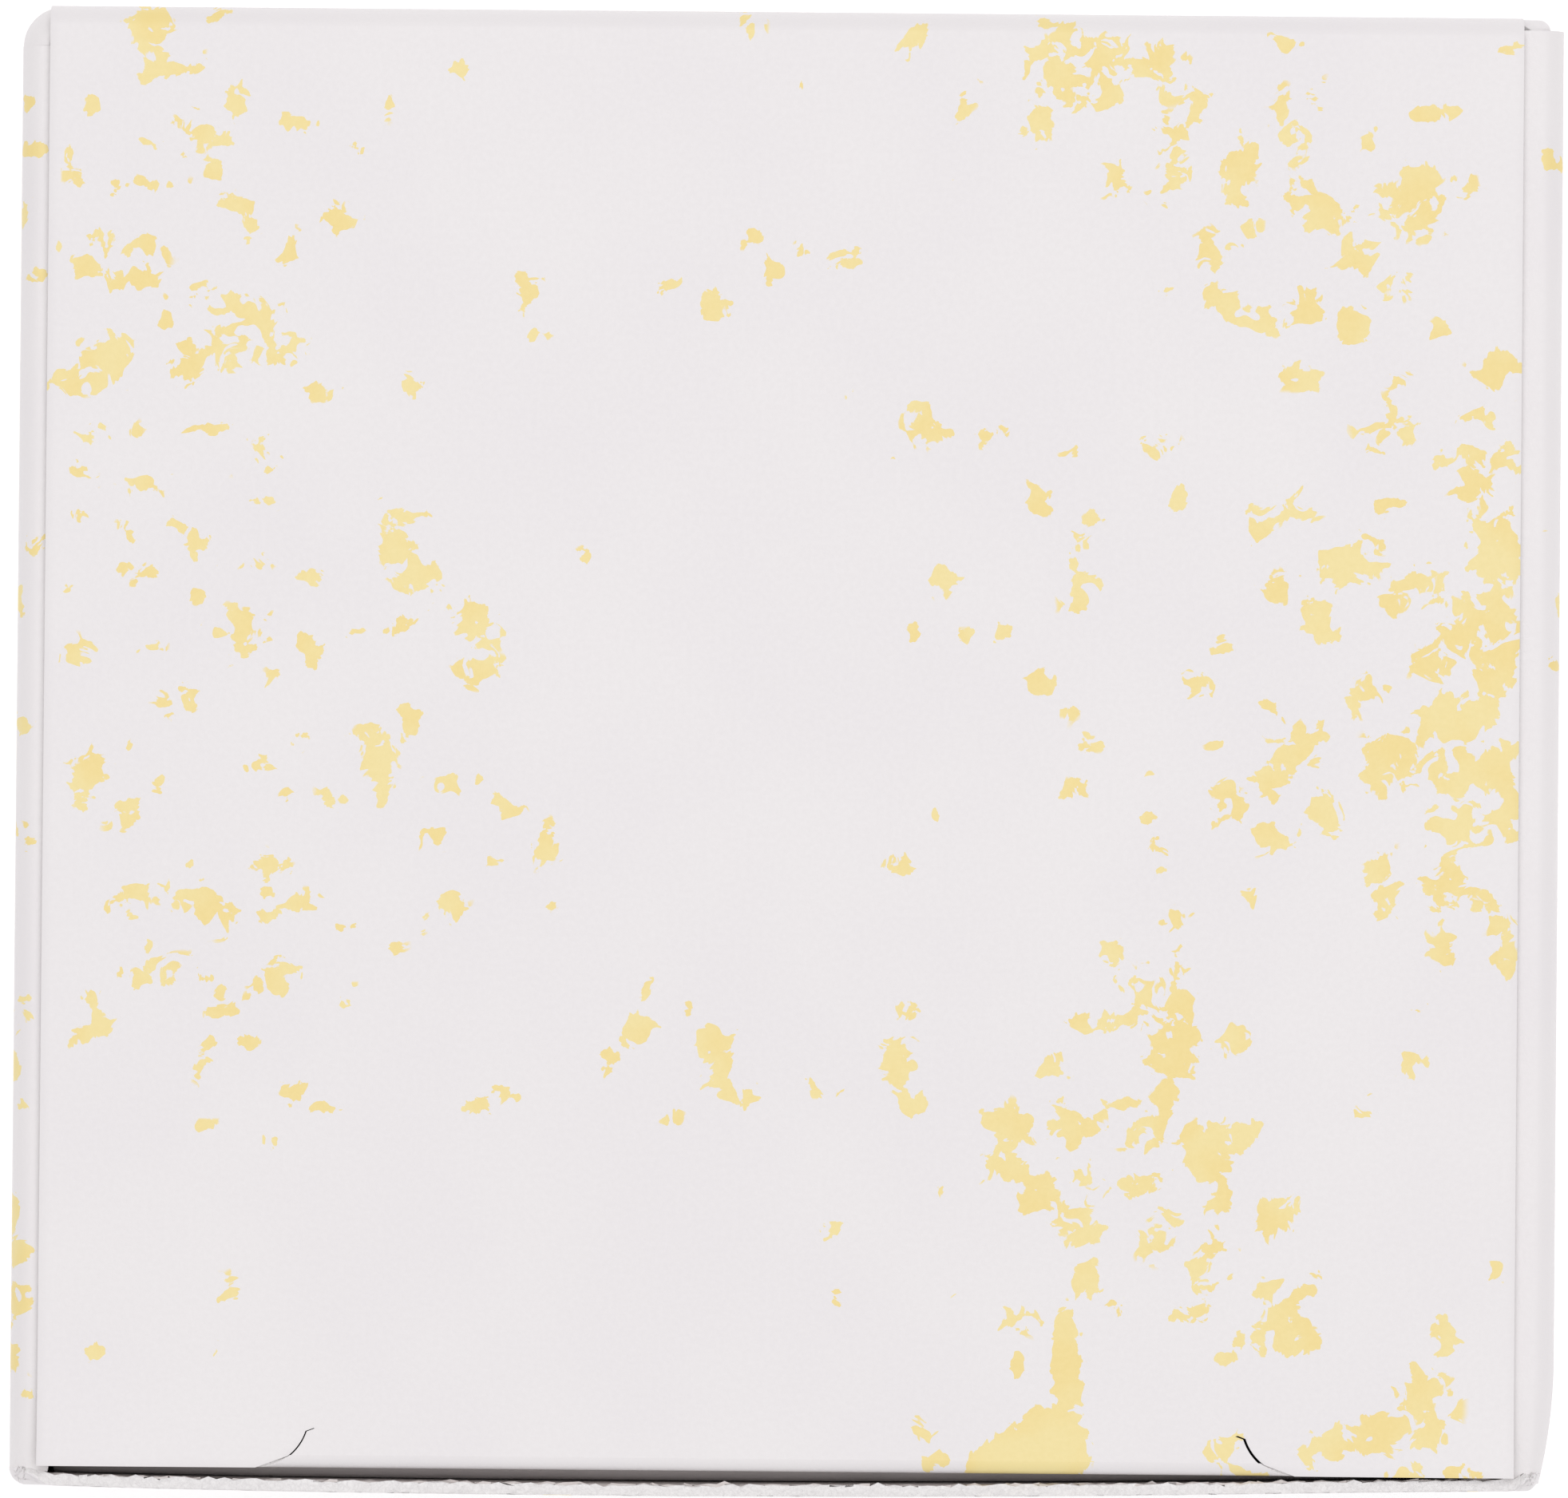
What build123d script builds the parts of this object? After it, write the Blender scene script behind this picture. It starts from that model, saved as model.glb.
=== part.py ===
from build123d import *
import os

# A boxed rosin cake: a reverse-tuck carton of creased boxboard with a cloth-wrapped cake inside.
#
# The carton stands on its base with its tuck lid on top. +Z is up, the lid opens from the front, which
# is -Y, and swings on the crease along the top of the back panel. The origin is at the centre of the base.
# All sizes are in millimetres.

# Carton
WIDTH = 61.2  # outside, across the side panels
DEPTH = 58.8  # outside, front panel to back panel
HEIGHT = 30.0  # outside, base to lid
BOARD = 0.45  # thickness of the boxboard
PLAY = 0.1  # between boards that turn past each other

# Tube of four walls
CORNER = 0.7  # outside radius of a vertical crease
ROLLED_CORNER = 1.6  # the back left crease is rolled wider than the others
WALL_REACH = 3.0  # depth of the mitred outline that a wall is cut from
RAW_EDGE_DROP = 0.35  # a wall's free edge lies this far below the outside of the closure
SEAM_STEP = 0.9  # the right panel's raw edge stops this far short of the back
GLUE_FLAP = 12.0
GLUE_FLAP_END = 3.0  # how far the glue flap stops short of the tube's ends
GLUE_FLAP_TAPER = 2.5
GLUE_FILM = 0.05
GLUE_STRIP = 8.0

# Closure, the same at both ends
LID_WIDTH = 58.4
LID_FRONT_GAP = 0.5  # from the tuck crease to the inside of the opposite wall
LID_CORNER = 0.4
LOCK_LENGTH = 8.3  # slit along the tuck crease, from each side of the lid
LOCK_REACH = 2.1  # how much further in the slit curves
LOCK_RISE = 1.8  # how far it curves up into the lid
SLIT = 0.15
TUCK_LENGTH = 14.0
TUCK_LEAN = 10.0  # degrees past square, towards the inside
TUCK_CORNER = 6.0
TUCK_SIDE_GAP = 0.3
DUST_LENGTH = 26.0
DUST_FRONT = 1.3  # from the outside of the tuck's wall to the dust flap's shoulder
DUST_SHOULDER = 1.2
DUST_BACK = 0.9  # from the outside of the hinge's wall to the dust flap's rear corner
DUST_TIP_FRONT = 4.2
DUST_TIP_BACK = 19.0
DUST_CORNER = 3.0

# Rosin cake and its cloth
CAKE_RADIUS = 19.0
CAKE_HEIGHT = 15.5
CAKE_DRAFT = 0.4  # the foot is this much smaller in radius, from the mould
CAKE_EDGE = 0.8
CAKE_BRIM = 2.4  # flat ring around the dished top
CAKE_DISH = 0.3  # the top sinks this much as the resin cools
GLUE_DISC_RADIUS = 14.0
GLUE_DISC = 0.2
CLOTH = 0.8
CLOTH_RADIUS = 23.4
CLOTH_RIM = 2.6  # above the top of the cake
CLOTH_GAP = 0.4  # from the side of the cake to the gathered cloth

# Each closure panel turns about the middle of its board
HALF_BOARD = BOARD / 2
HINGE_AXIS = DEPTH / 2 - HALF_BOARD
TUCK_AXIS = DEPTH / 2 - BOARD - LID_FRONT_GAP - HALF_BOARD
SIDE_AXIS = WIDTH / 2 - HALF_BOARD
DUST_TOP = BOARD + PLAY  # below the outside of the closure
DUST_AXIS_DROP = DUST_TOP + HALF_BOARD
CLOSURE = DUST_TOP + BOARD + PLAY  # closure panel and dust flaps together
LOCK_INNER = LID_WIDTH / 2 - LOCK_LENGTH
SEAM_FACE = WIDTH / 2 - BOARD - GLUE_FILM  # outside of the glue flap

# The lid closes the top, and the base closes the other end, hinged on the opposite wall
TOP_END = Plane(origin=(0, 0, HEIGHT), x_dir=(1, 0, 0), z_dir=(0, 0, 1))
BASE_END = Plane(origin=(0, 0, 0), x_dir=(1, 0, 0), z_dir=(0, 0, -1))


def save(piece, name):
    """Writes one finished piece as its own STEP file."""
    piece.part.label = name
    export_step(piece.part, f"parts/{name}.step")


def tube_outline(width, depth, rolled_corner, corner):
    """Plan of the tube, with its back left corner rolled wider than the rest."""
    with BuildSketch() as outline:
        Rectangle(width, depth)
        back_left = outline.vertices().group_by(Axis.Y)[-1].sort_by(Axis.X)[0]
        fillet(back_left, rolled_corner)
        if corner > 0:
            sharp = outline.vertices().group_by(Axis.Y)[0]
            fillet(sharp, corner)
    return outline.sketch


def make_wall(name, plan, low, high):
    """One wall: what lies between the tube's outside and inside, within a plan outline."""
    outside = tube_outline(WIDTH, DEPTH, ROLLED_CORNER, CORNER)
    inside = tube_outline(WIDTH - 2 * BOARD, DEPTH - 2 * BOARD, ROLLED_CORNER - BOARD, CORNER - BOARD)
    with BuildPart() as wall:
        with BuildSketch(Plane.XY.offset(low)):
            with BuildLine():
                Polyline(*plan, close=True)
            make_face()
            add(outside, mode=Mode.INTERSECT)
            add(inside, mode=Mode.SUBTRACT)
        extrude(amount=high - low)
    save(wall, name)


def make_walls():
    """Walls meet on 45 degree mitres at three creases, and in a step at the glued corner, back right."""
    w, d = WIDTH / 2, DEPTH / 2
    near_w, near_d = w - WALL_REACH, d - WALL_REACH
    raw_x = SEAM_FACE
    raw_y = d - SEAM_STEP
    crease_end = BOARD + PLAY

    front = [(-w, -d), (w, -d), (near_w, -near_d), (-near_w, -near_d)]
    left = [(-w, d), (-w, -d), (-near_w, -near_d), (-near_w, near_d)]
    right = [(w, -d), (w, raw_y), (near_w, raw_y), (near_w, -near_d)]
    back = [(raw_x, d), (-w, d), (-near_w, near_d), (raw_x, near_d)]
    make_wall("front_panel", front, crease_end, HEIGHT - RAW_EDGE_DROP)
    make_wall("back_panel", back, RAW_EDGE_DROP, HEIGHT - crease_end)
    make_wall("left_panel", left, CLOSURE, HEIGHT - CLOSURE)
    make_wall("right_panel", right, CLOSURE, HEIGHT - CLOSURE)


def make_glue_seam():
    """The glue flap folds off the back panel and is stuck inside the right panel."""
    seam = Plane(origin=(SEAM_FACE, 0, 0), x_dir=(0, 1, 0), z_dir=(1, 0, 0))
    rear = DEPTH / 2 - BOARD
    free = rear - GLUE_FLAP
    low, high = GLUE_FLAP_END, HEIGHT - GLUE_FLAP_END
    with BuildPart() as glue_flap:
        with BuildSketch(seam):
            with BuildLine():
                Polyline(
                    (rear, low),
                    (rear, high),
                    (free, high - GLUE_FLAP_TAPER),
                    (free, low + GLUE_FLAP_TAPER),
                    close=True,
                )
            make_face()
        extrude(amount=-BOARD)
    save(glue_flap, "glue_flap")

    with BuildPart() as seam_glue:
        with BuildSketch(seam):
            with Locations((rear - GLUE_FLAP / 2, HEIGHT / 2)):
                Rectangle(GLUE_STRIP, high - low - 2 * GLUE_FLAP_TAPER)
        extrude(amount=GLUE_FILM)
    save(seam_glue, "seam_glue")


def make_lid(end, name):
    """Closure panel with a rounded crease at its hinge and a slit lock at each end of the tuck crease."""
    half = LID_WIDTH / 2
    tab_front = -(TUCK_AXIS + HALF_BOARD)
    crease_front = -(TUCK_AXIS - HALF_BOARD - PLAY)
    slit_end = LOCK_INNER - LOCK_REACH
    hinge_line = Plane(origin=end.from_local_coords((-half, HINGE_AXIS, -HALF_BOARD)), z_dir=(1, 0, 0))
    with BuildPart() as lid:
        with BuildSketch(end):
            with BuildLine():
                Polyline(
                    (-half, HINGE_AXIS),
                    (half, HINGE_AXIS),
                    (half, tab_front),
                    (LOCK_INNER, tab_front),
                    (LOCK_INNER, crease_front),
                    (-LOCK_INNER, crease_front),
                    (-LOCK_INNER, tab_front),
                    (-half, tab_front),
                    close=True,
                )
            make_face()
            for side in (-1, 1):
                with BuildLine(mode=Mode.PRIVATE) as slit:
                    ThreePointArc(
                        (side * LOCK_INNER, crease_front),
                        (side * (slit_end + 0.3 * LOCK_REACH), crease_front + 0.35 * LOCK_RISE),
                        (side * slit_end, crease_front + LOCK_RISE),
                    )
                trace(slit.edges(), line_width=SLIT, mode=Mode.SUBTRACT)
        extrude(amount=-BOARD)
        with BuildSketch(hinge_line):
            Circle(HALF_BOARD)
        extrude(amount=LID_WIDTH)
        upright = lid.edges().filter_by(Axis.Z).group_by(Axis.X)
        fillet([*upright[0], *upright[-1]], LID_CORNER)
    save(lid, name)


def make_tuck_flap(end, name):
    """Flap on the lid's free crease, tucked inside and leaning in, with its shoulders clear of the lid."""
    crease = end.from_local_coords((0, -TUCK_AXIS, -HALF_BOARD))
    crease_line = Plane(origin=crease - Vector(LOCK_INNER, 0, 0), z_dir=(1, 0, 0))
    hanging = Plane(origin=crease, x_dir=(1, 0, 0), z_dir=-end.y_dir).rotated((TUCK_LEAN, 0, 0))
    half = LID_WIDTH / 2 - TUCK_SIDE_GAP
    shoulder = -(HALF_BOARD + PLAY)
    with BuildPart() as flap:
        with BuildSketch(hanging.offset(-HALF_BOARD)):
            with BuildLine():
                Polyline(
                    (LOCK_INNER, 0),
                    (LOCK_INNER, shoulder),
                    (half, shoulder),
                    (half, TUCK_CORNER - TUCK_LENGTH),
                )
                RadiusArc((half, TUCK_CORNER - TUCK_LENGTH), (half - TUCK_CORNER, -TUCK_LENGTH), TUCK_CORNER)
                Line((half - TUCK_CORNER, -TUCK_LENGTH), (TUCK_CORNER - half, -TUCK_LENGTH))
                RadiusArc((TUCK_CORNER - half, -TUCK_LENGTH), (-half, TUCK_CORNER - TUCK_LENGTH), TUCK_CORNER)
                Polyline(
                    (-half, TUCK_CORNER - TUCK_LENGTH),
                    (-half, shoulder),
                    (-LOCK_INNER, shoulder),
                    (-LOCK_INNER, 0),
                    (LOCK_INNER, 0),
                )
            make_face()
        extrude(amount=BOARD)
        with BuildSketch(crease_line):
            Circle(HALF_BOARD)
        extrude(amount=2 * LOCK_INNER)
    save(flap, name)


def make_dust_flap(end, side, name):
    """Flap on a side panel, under the lid: a shoulder beside the tuck and a long taper by the hinge."""
    hinge = side * SIDE_AXIS
    tip = side * (SIDE_AXIS - DUST_LENGTH)
    shoulder = DUST_FRONT - DEPTH / 2
    rear = DEPTH / 2 - DUST_BACK
    crease_start = end.from_local_coords((hinge, shoulder, -DUST_AXIS_DROP))
    with BuildPart() as flap:
        with BuildSketch(end.offset(-DUST_TOP)):
            with BuildLine():
                Polyline(
                    (hinge, shoulder),
                    (hinge - side * DUST_SHOULDER, shoulder + DUST_SHOULDER),
                    (tip, DUST_TIP_FRONT - DEPTH / 2),
                    (tip, DEPTH / 2 - DUST_TIP_BACK),
                    (hinge, rear),
                    close=True,
                )
            make_face()
        extrude(amount=-BOARD)
        tip_edges = flap.edges().filter_by(Axis.Z).group_by(Axis.X)[0 if side > 0 else -1]
        fillet(tip_edges, DUST_CORNER)
        with BuildSketch(Plane(origin=crease_start, z_dir=end.y_dir)):
            Circle(HALF_BOARD)
        extrude(amount=rear - shoulder)
    save(flap, name)


def make_contents():
    """Cast disc of rosin, glued to the middle of a cloth that is gathered up around it."""
    glue_foot = CLOSURE + CLOTH
    cake_foot = glue_foot + GLUE_DISC
    cake_top = cake_foot + CAKE_HEIGHT
    brim = CAKE_RADIUS - CAKE_BRIM
    dish_radius = (brim**2 + CAKE_DISH**2) / (2 * CAKE_DISH)
    with BuildPart() as cake:
        with BuildSketch(Plane.XZ) as profile:
            with BuildLine():
                Polyline(
                    (0, cake_top),
                    (0, cake_foot),
                    (CAKE_RADIUS - CAKE_DRAFT, cake_foot),
                    (CAKE_RADIUS, cake_top),
                    close=True,
                )
            make_face()
            rim = profile.vertices().sort_by(Axis.X)[-1]
            fillet(rim, CAKE_EDGE)
        revolve(axis=Axis.Z)
        with Locations((0, 0, cake_top - CAKE_DISH + dish_radius)):
            Sphere(dish_radius, mode=Mode.SUBTRACT)
    save(cake, "rosin_cake")

    with BuildPart() as glue_disc:
        with BuildSketch(Plane.XY.offset(glue_foot)):
            Circle(GLUE_DISC_RADIUS)
        extrude(amount=GLUE_DISC)
    save(glue_disc, "glue_disc")

    with BuildPart() as cloth:
        with BuildSketch(Plane.XY.offset(CLOSURE)):
            Circle(CLOTH_RADIUS)
        extrude(amount=cake_top + CLOTH_RIM - CLOSURE)
        with BuildSketch(Plane.XY.offset(glue_foot)):
            Circle(CAKE_RADIUS + CLOTH_GAP)
        extrude(amount=HEIGHT, mode=Mode.SUBTRACT)
        foot_edge = cloth.edges().filter_by(GeomType.CIRCLE).group_by(Axis.Z)[0]
        fillet(foot_edge, 2 * CLOTH)
    save(cloth, "cloth_wrap")


os.makedirs("parts", exist_ok=True)
make_walls()
make_glue_seam()
for closure, lid_name, prefix in ((TOP_END, "lid_panel", ""), (BASE_END, "base_panel", "base_")):
    make_lid(closure, lid_name)
    make_tuck_flap(closure, prefix + "tuck_flap")
    make_dust_flap(closure, -1, prefix + "left_dust_flap")
    make_dust_flap(closure, 1, prefix + "right_dust_flap")
make_contents()
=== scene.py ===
# %% [markdown]
# # A boxed rosin cake
# Bow rosin is sold as a small round cake, glued to a square of cloth, in a tuck-end carton that it just
# fits. The carton is one die-cut blank of white boxboard, printed with pale yellow flecks before it is
# creased, folded and glued. This lesson makes the carton as its maker does: each panel starts as a flat
# sheet, is cut, is given the thickness of the board, and is then folded on its creases.

# %% Load the frame
import math
import random

import bpy
import numpy as np
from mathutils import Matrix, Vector


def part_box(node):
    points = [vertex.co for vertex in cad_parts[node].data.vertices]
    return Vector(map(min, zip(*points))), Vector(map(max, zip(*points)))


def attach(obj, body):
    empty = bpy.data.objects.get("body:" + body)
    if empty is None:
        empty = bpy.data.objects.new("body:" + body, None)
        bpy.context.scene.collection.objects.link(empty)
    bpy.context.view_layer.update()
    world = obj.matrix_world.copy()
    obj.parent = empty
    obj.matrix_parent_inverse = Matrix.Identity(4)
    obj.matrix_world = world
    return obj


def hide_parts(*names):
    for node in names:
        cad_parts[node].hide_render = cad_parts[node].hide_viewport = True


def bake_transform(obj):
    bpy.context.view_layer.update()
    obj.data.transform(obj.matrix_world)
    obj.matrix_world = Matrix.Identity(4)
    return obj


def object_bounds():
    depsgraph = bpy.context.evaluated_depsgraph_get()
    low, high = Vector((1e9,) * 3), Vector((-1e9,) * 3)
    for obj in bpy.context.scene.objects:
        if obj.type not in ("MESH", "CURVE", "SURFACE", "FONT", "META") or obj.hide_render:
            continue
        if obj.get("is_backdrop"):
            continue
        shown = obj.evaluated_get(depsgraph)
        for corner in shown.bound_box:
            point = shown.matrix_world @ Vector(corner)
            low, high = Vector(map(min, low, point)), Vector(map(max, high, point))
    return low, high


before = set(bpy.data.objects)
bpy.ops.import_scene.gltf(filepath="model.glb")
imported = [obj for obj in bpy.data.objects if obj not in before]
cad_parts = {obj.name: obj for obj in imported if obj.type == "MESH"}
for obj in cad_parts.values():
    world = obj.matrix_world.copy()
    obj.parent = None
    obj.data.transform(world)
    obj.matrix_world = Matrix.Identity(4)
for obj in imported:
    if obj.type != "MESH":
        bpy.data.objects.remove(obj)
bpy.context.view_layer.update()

# %% [markdown]
# ## Sizes
# The carton's main sizes come from the imported parts, so the boards fold exactly where the hinges are.
# The creases' radii and a few offsets are given. The board is creased on the outside of its bend, and each
# crease is rounded to its own radius.

# %% Sizes from the frame, in metres
MM = 0.001
HALF_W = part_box("right_panel")[1].x
HALF_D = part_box("back_panel")[1].y
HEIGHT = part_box("lid_panel")[1].z
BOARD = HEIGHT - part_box("lid_panel")[0].z
HALF_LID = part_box("lid_panel")[1].x
LID_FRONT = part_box("lid_panel")[0].y
DUST_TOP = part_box("left_dust_flap")[1].z
FRONT_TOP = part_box("front_panel")[1].z
LOCK_INNER = HALF_LID - 8.65 * MM  # where each slit leaves the tuck crease
LID_SHIFT = -0.25 * MM  # the lid has closed a little to the left
REAR_CREASE = 0.9 * MM  # the creases' outer radii: behind the lid
TUCK_CREASE = 0.5 * MM  # between the lid and its tuck flap
SIDE_CREASE = 0.9 * MM  # between a dust flap and its side panel
CORNER_CREASE = 0.7 * MM  # between the front panel and a side panel
ROLLED_CREASE = 1.6 * MM  # at the back left corner, which is rolled rounder
SEAM_CREASE = 0.5 * MM  # between the back panel and the glue flap
REAR_LEG = 0.3 * MM  # flat board past the rear crease, on the tube's side of it
SIDE_LEG = 0.1 * MM  # the same past a dust flap's crease
HAIR = 0.005 * MM  # keeps two seams off one plane
LID_CELL, FLAP_CELL, WALL_CELL, FRONT_CELL = 0.42 * MM, 0.6 * MM, 0.7 * MM, 0.32 * MM
QUARTER = math.pi / 2
print(f"carton {2 * HALF_W / MM:.1f} x {2 * HALF_D / MM:.1f} x {HEIGHT / MM:.1f} mm,",
      f"board {BOARD / MM:.2f} mm")

# %% [markdown]
# ## Working flat
# A crease can't be bent with Blender's own bend tool without a window, so a folded board is made the way
# a die cutter makes it. A grid is added at the panel's size, cut with bisect, thickened with Solidify,
# and only then folded. Before the fold, each point's place on the flat blank is stored on the mesh. The
# print reads that, so flecks run round a crease without stretching, and stay put when a flap opens.

# %% Flat sheets
def only(piece):
    """Deselects everything else, because an operator acts on all that is selected."""
    bpy.ops.object.select_all(action="DESELECT")
    piece.select_set(True)
    bpy.context.view_layer.objects.active = piece


def apply_place():
    """Applies the active object's place, turn and scale, so that it stays at the origin."""
    bpy.ops.object.transform_apply(location=True, rotation=True, scale=True)


def modify(piece, kind, **settings):
    """Adds a modifier, sets it and applies it."""
    only(piece)
    modifier = piece.modifiers.new(kind.lower(), kind)
    for setting, value in settings.items():
        setattr(modifier, setting, value)
    bpy.ops.object.modifier_apply(modifier=modifier.name)


def face_outwards(piece):
    """Turns every face outwards."""
    only(piece)
    bpy.ops.object.mode_set(mode="EDIT")
    bpy.ops.mesh.select_all(action="SELECT")
    bpy.ops.mesh.normals_make_consistent(inside=False)
    bpy.ops.object.mode_set(mode="OBJECT")


def flat_board(name, x_low, x_high, y_low, y_high, cell):
    """A flat grid with its printed face up."""
    columns = max(1, round((x_high - x_low) / cell))
    rows = max(1, round((y_high - y_low) / cell))
    middle = ((x_low + x_high) / 2, (y_low + y_high) / 2, 0)
    bpy.ops.mesh.primitive_grid_add(x_subdivisions=columns, y_subdivisions=rows, size=1, location=middle)
    board = bpy.context.object
    board.name = name
    board.scale = (x_high - x_low, y_high - y_low, 1)
    apply_place()
    return board


def cut(board, point, normal, clear=False):
    """Bisects the whole board, and with clear throws away the side that the normal points to."""
    only(board)
    bpy.ops.object.mode_set(mode="EDIT")
    bpy.ops.mesh.select_all(action="SELECT")
    bpy.ops.mesh.bisect(plane_co=point, plane_no=Vector(normal).normalized(), clear_outer=clear,
                        threshold=1e-7)
    bpy.ops.object.mode_set(mode="OBJECT")


def right_of(start, end):
    """The direction to the right of a line across the board, going from start to end."""
    return Vector((end[1] - start[1], start[0] - end[0], 0))


def trim(board, start, end):
    """Cuts along a line and clears what lies to the right of it, going from start to end."""
    cut(board, (*start, 0), right_of(start, end), clear=True)


def remove_faces(board, unwanted):
    """Deletes the faces whose middles pass a test."""
    only(board)
    for face in board.data.polygons:
        face.select = unwanted(face.center)
    for vertex in board.data.vertices:
        vertex.select = False
    bpy.ops.object.mode_set(mode="EDIT")
    bpy.ops.mesh.select_mode(type="FACE")
    bpy.ops.mesh.delete(type="FACE")
    bpy.ops.object.mode_set(mode="OBJECT")


def score(board, axis, start, length, steps=10):
    """Adds the rows of vertices that a crease needs to bend round."""
    for step in range(steps + 1):
        place = start + length * step / steps
        point = (place, 0, 0) if axis == 0 else (0, place, 0)
        normal = (1, 0, 0) if axis == 0 else (0, 1, 0)
        cut(board, point, normal)


CUT_SLOT = 2  # where add_board_slots puts the cut edges' material


def add_board_slots(piece):
    """Gives a piece the board's three materials: printed, bare and cut."""
    for material in (PRINTED, BARE, CUT):
        piece.data.materials.append(material)


def thicken(board):
    """Gives the board its thickness below the printed face, with its own slots inside and on cut edges."""
    add_board_slots(board)
    modify(board, "SOLIDIFY", thickness=BOARD, offset=-1, material_offset=1, material_offset_rim=CUT_SLOT)


def points_of(board):
    """The board's vertices as an array."""
    points = np.empty(len(board.data.vertices) * 3)
    board.data.vertices.foreach_get("co", points)
    return points.reshape(-1, 3)


def move_points(board, points):
    """Puts changed vertices back."""
    board.data.vertices.foreach_set("co", points.ravel())
    board.data.update()


def ramp(values, start, end):
    """How far values have come from start to end, from 0 to 1."""
    return np.clip((values - start) / (end - start), 0, 1)


def ease(share):
    """Rounds both ends of a ramp."""
    return share**2 * (3 - 2 * share)


def crease_length(radius, angle=QUARTER):
    """Length of blank that a crease takes up, measured at the middle of the board."""
    return (radius - BOARD / 2) * angle


def fold(board, axis, start, direction, radius, angle=QUARTER):
    """Bends what lies past a crease down and away, with the printed face on the outside."""
    points = points_of(board)
    past = (points[:, axis] - start) * direction
    turned = np.clip(past / (radius - BOARD / 2), 0, angle)
    beyond = np.maximum(past - crease_length(radius, angle), 0)
    reach = np.maximum(radius + points[:, 2], 0)
    bent = past > 0
    along = reach * np.sin(turned) + beyond * np.cos(turned)
    height = reach * np.cos(turned) - radius - beyond * np.sin(turned)
    points[bent, axis] = start + direction * along[bent]
    points[bent, 2] = height[bent]
    move_points(board, points)


def place(board, turn=(0, 0, 0), move=(0, 0, 0)):
    """Turns and moves a board, and applies both, so that its object stays at the origin."""
    only(board)
    board.rotation_euler = turn
    board.location = move
    apply_place()


print(f"flat boards will be {BOARD / MM:.2f} mm thick")

# %% [markdown]
# ## The print
# The flecks look like torn gold leaf: solid in places, lacy in others, with jagged edges. A painter would
# dab them on, so the layout is a list of dabs, each with its middle, half length, half width, turn and
# strength. The strength at each vertex goes into an attribute called ink, and the material tears its edge
# with noise. A strong dab makes one solid fleck, and a weak wide one makes a lacy patch.

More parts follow.
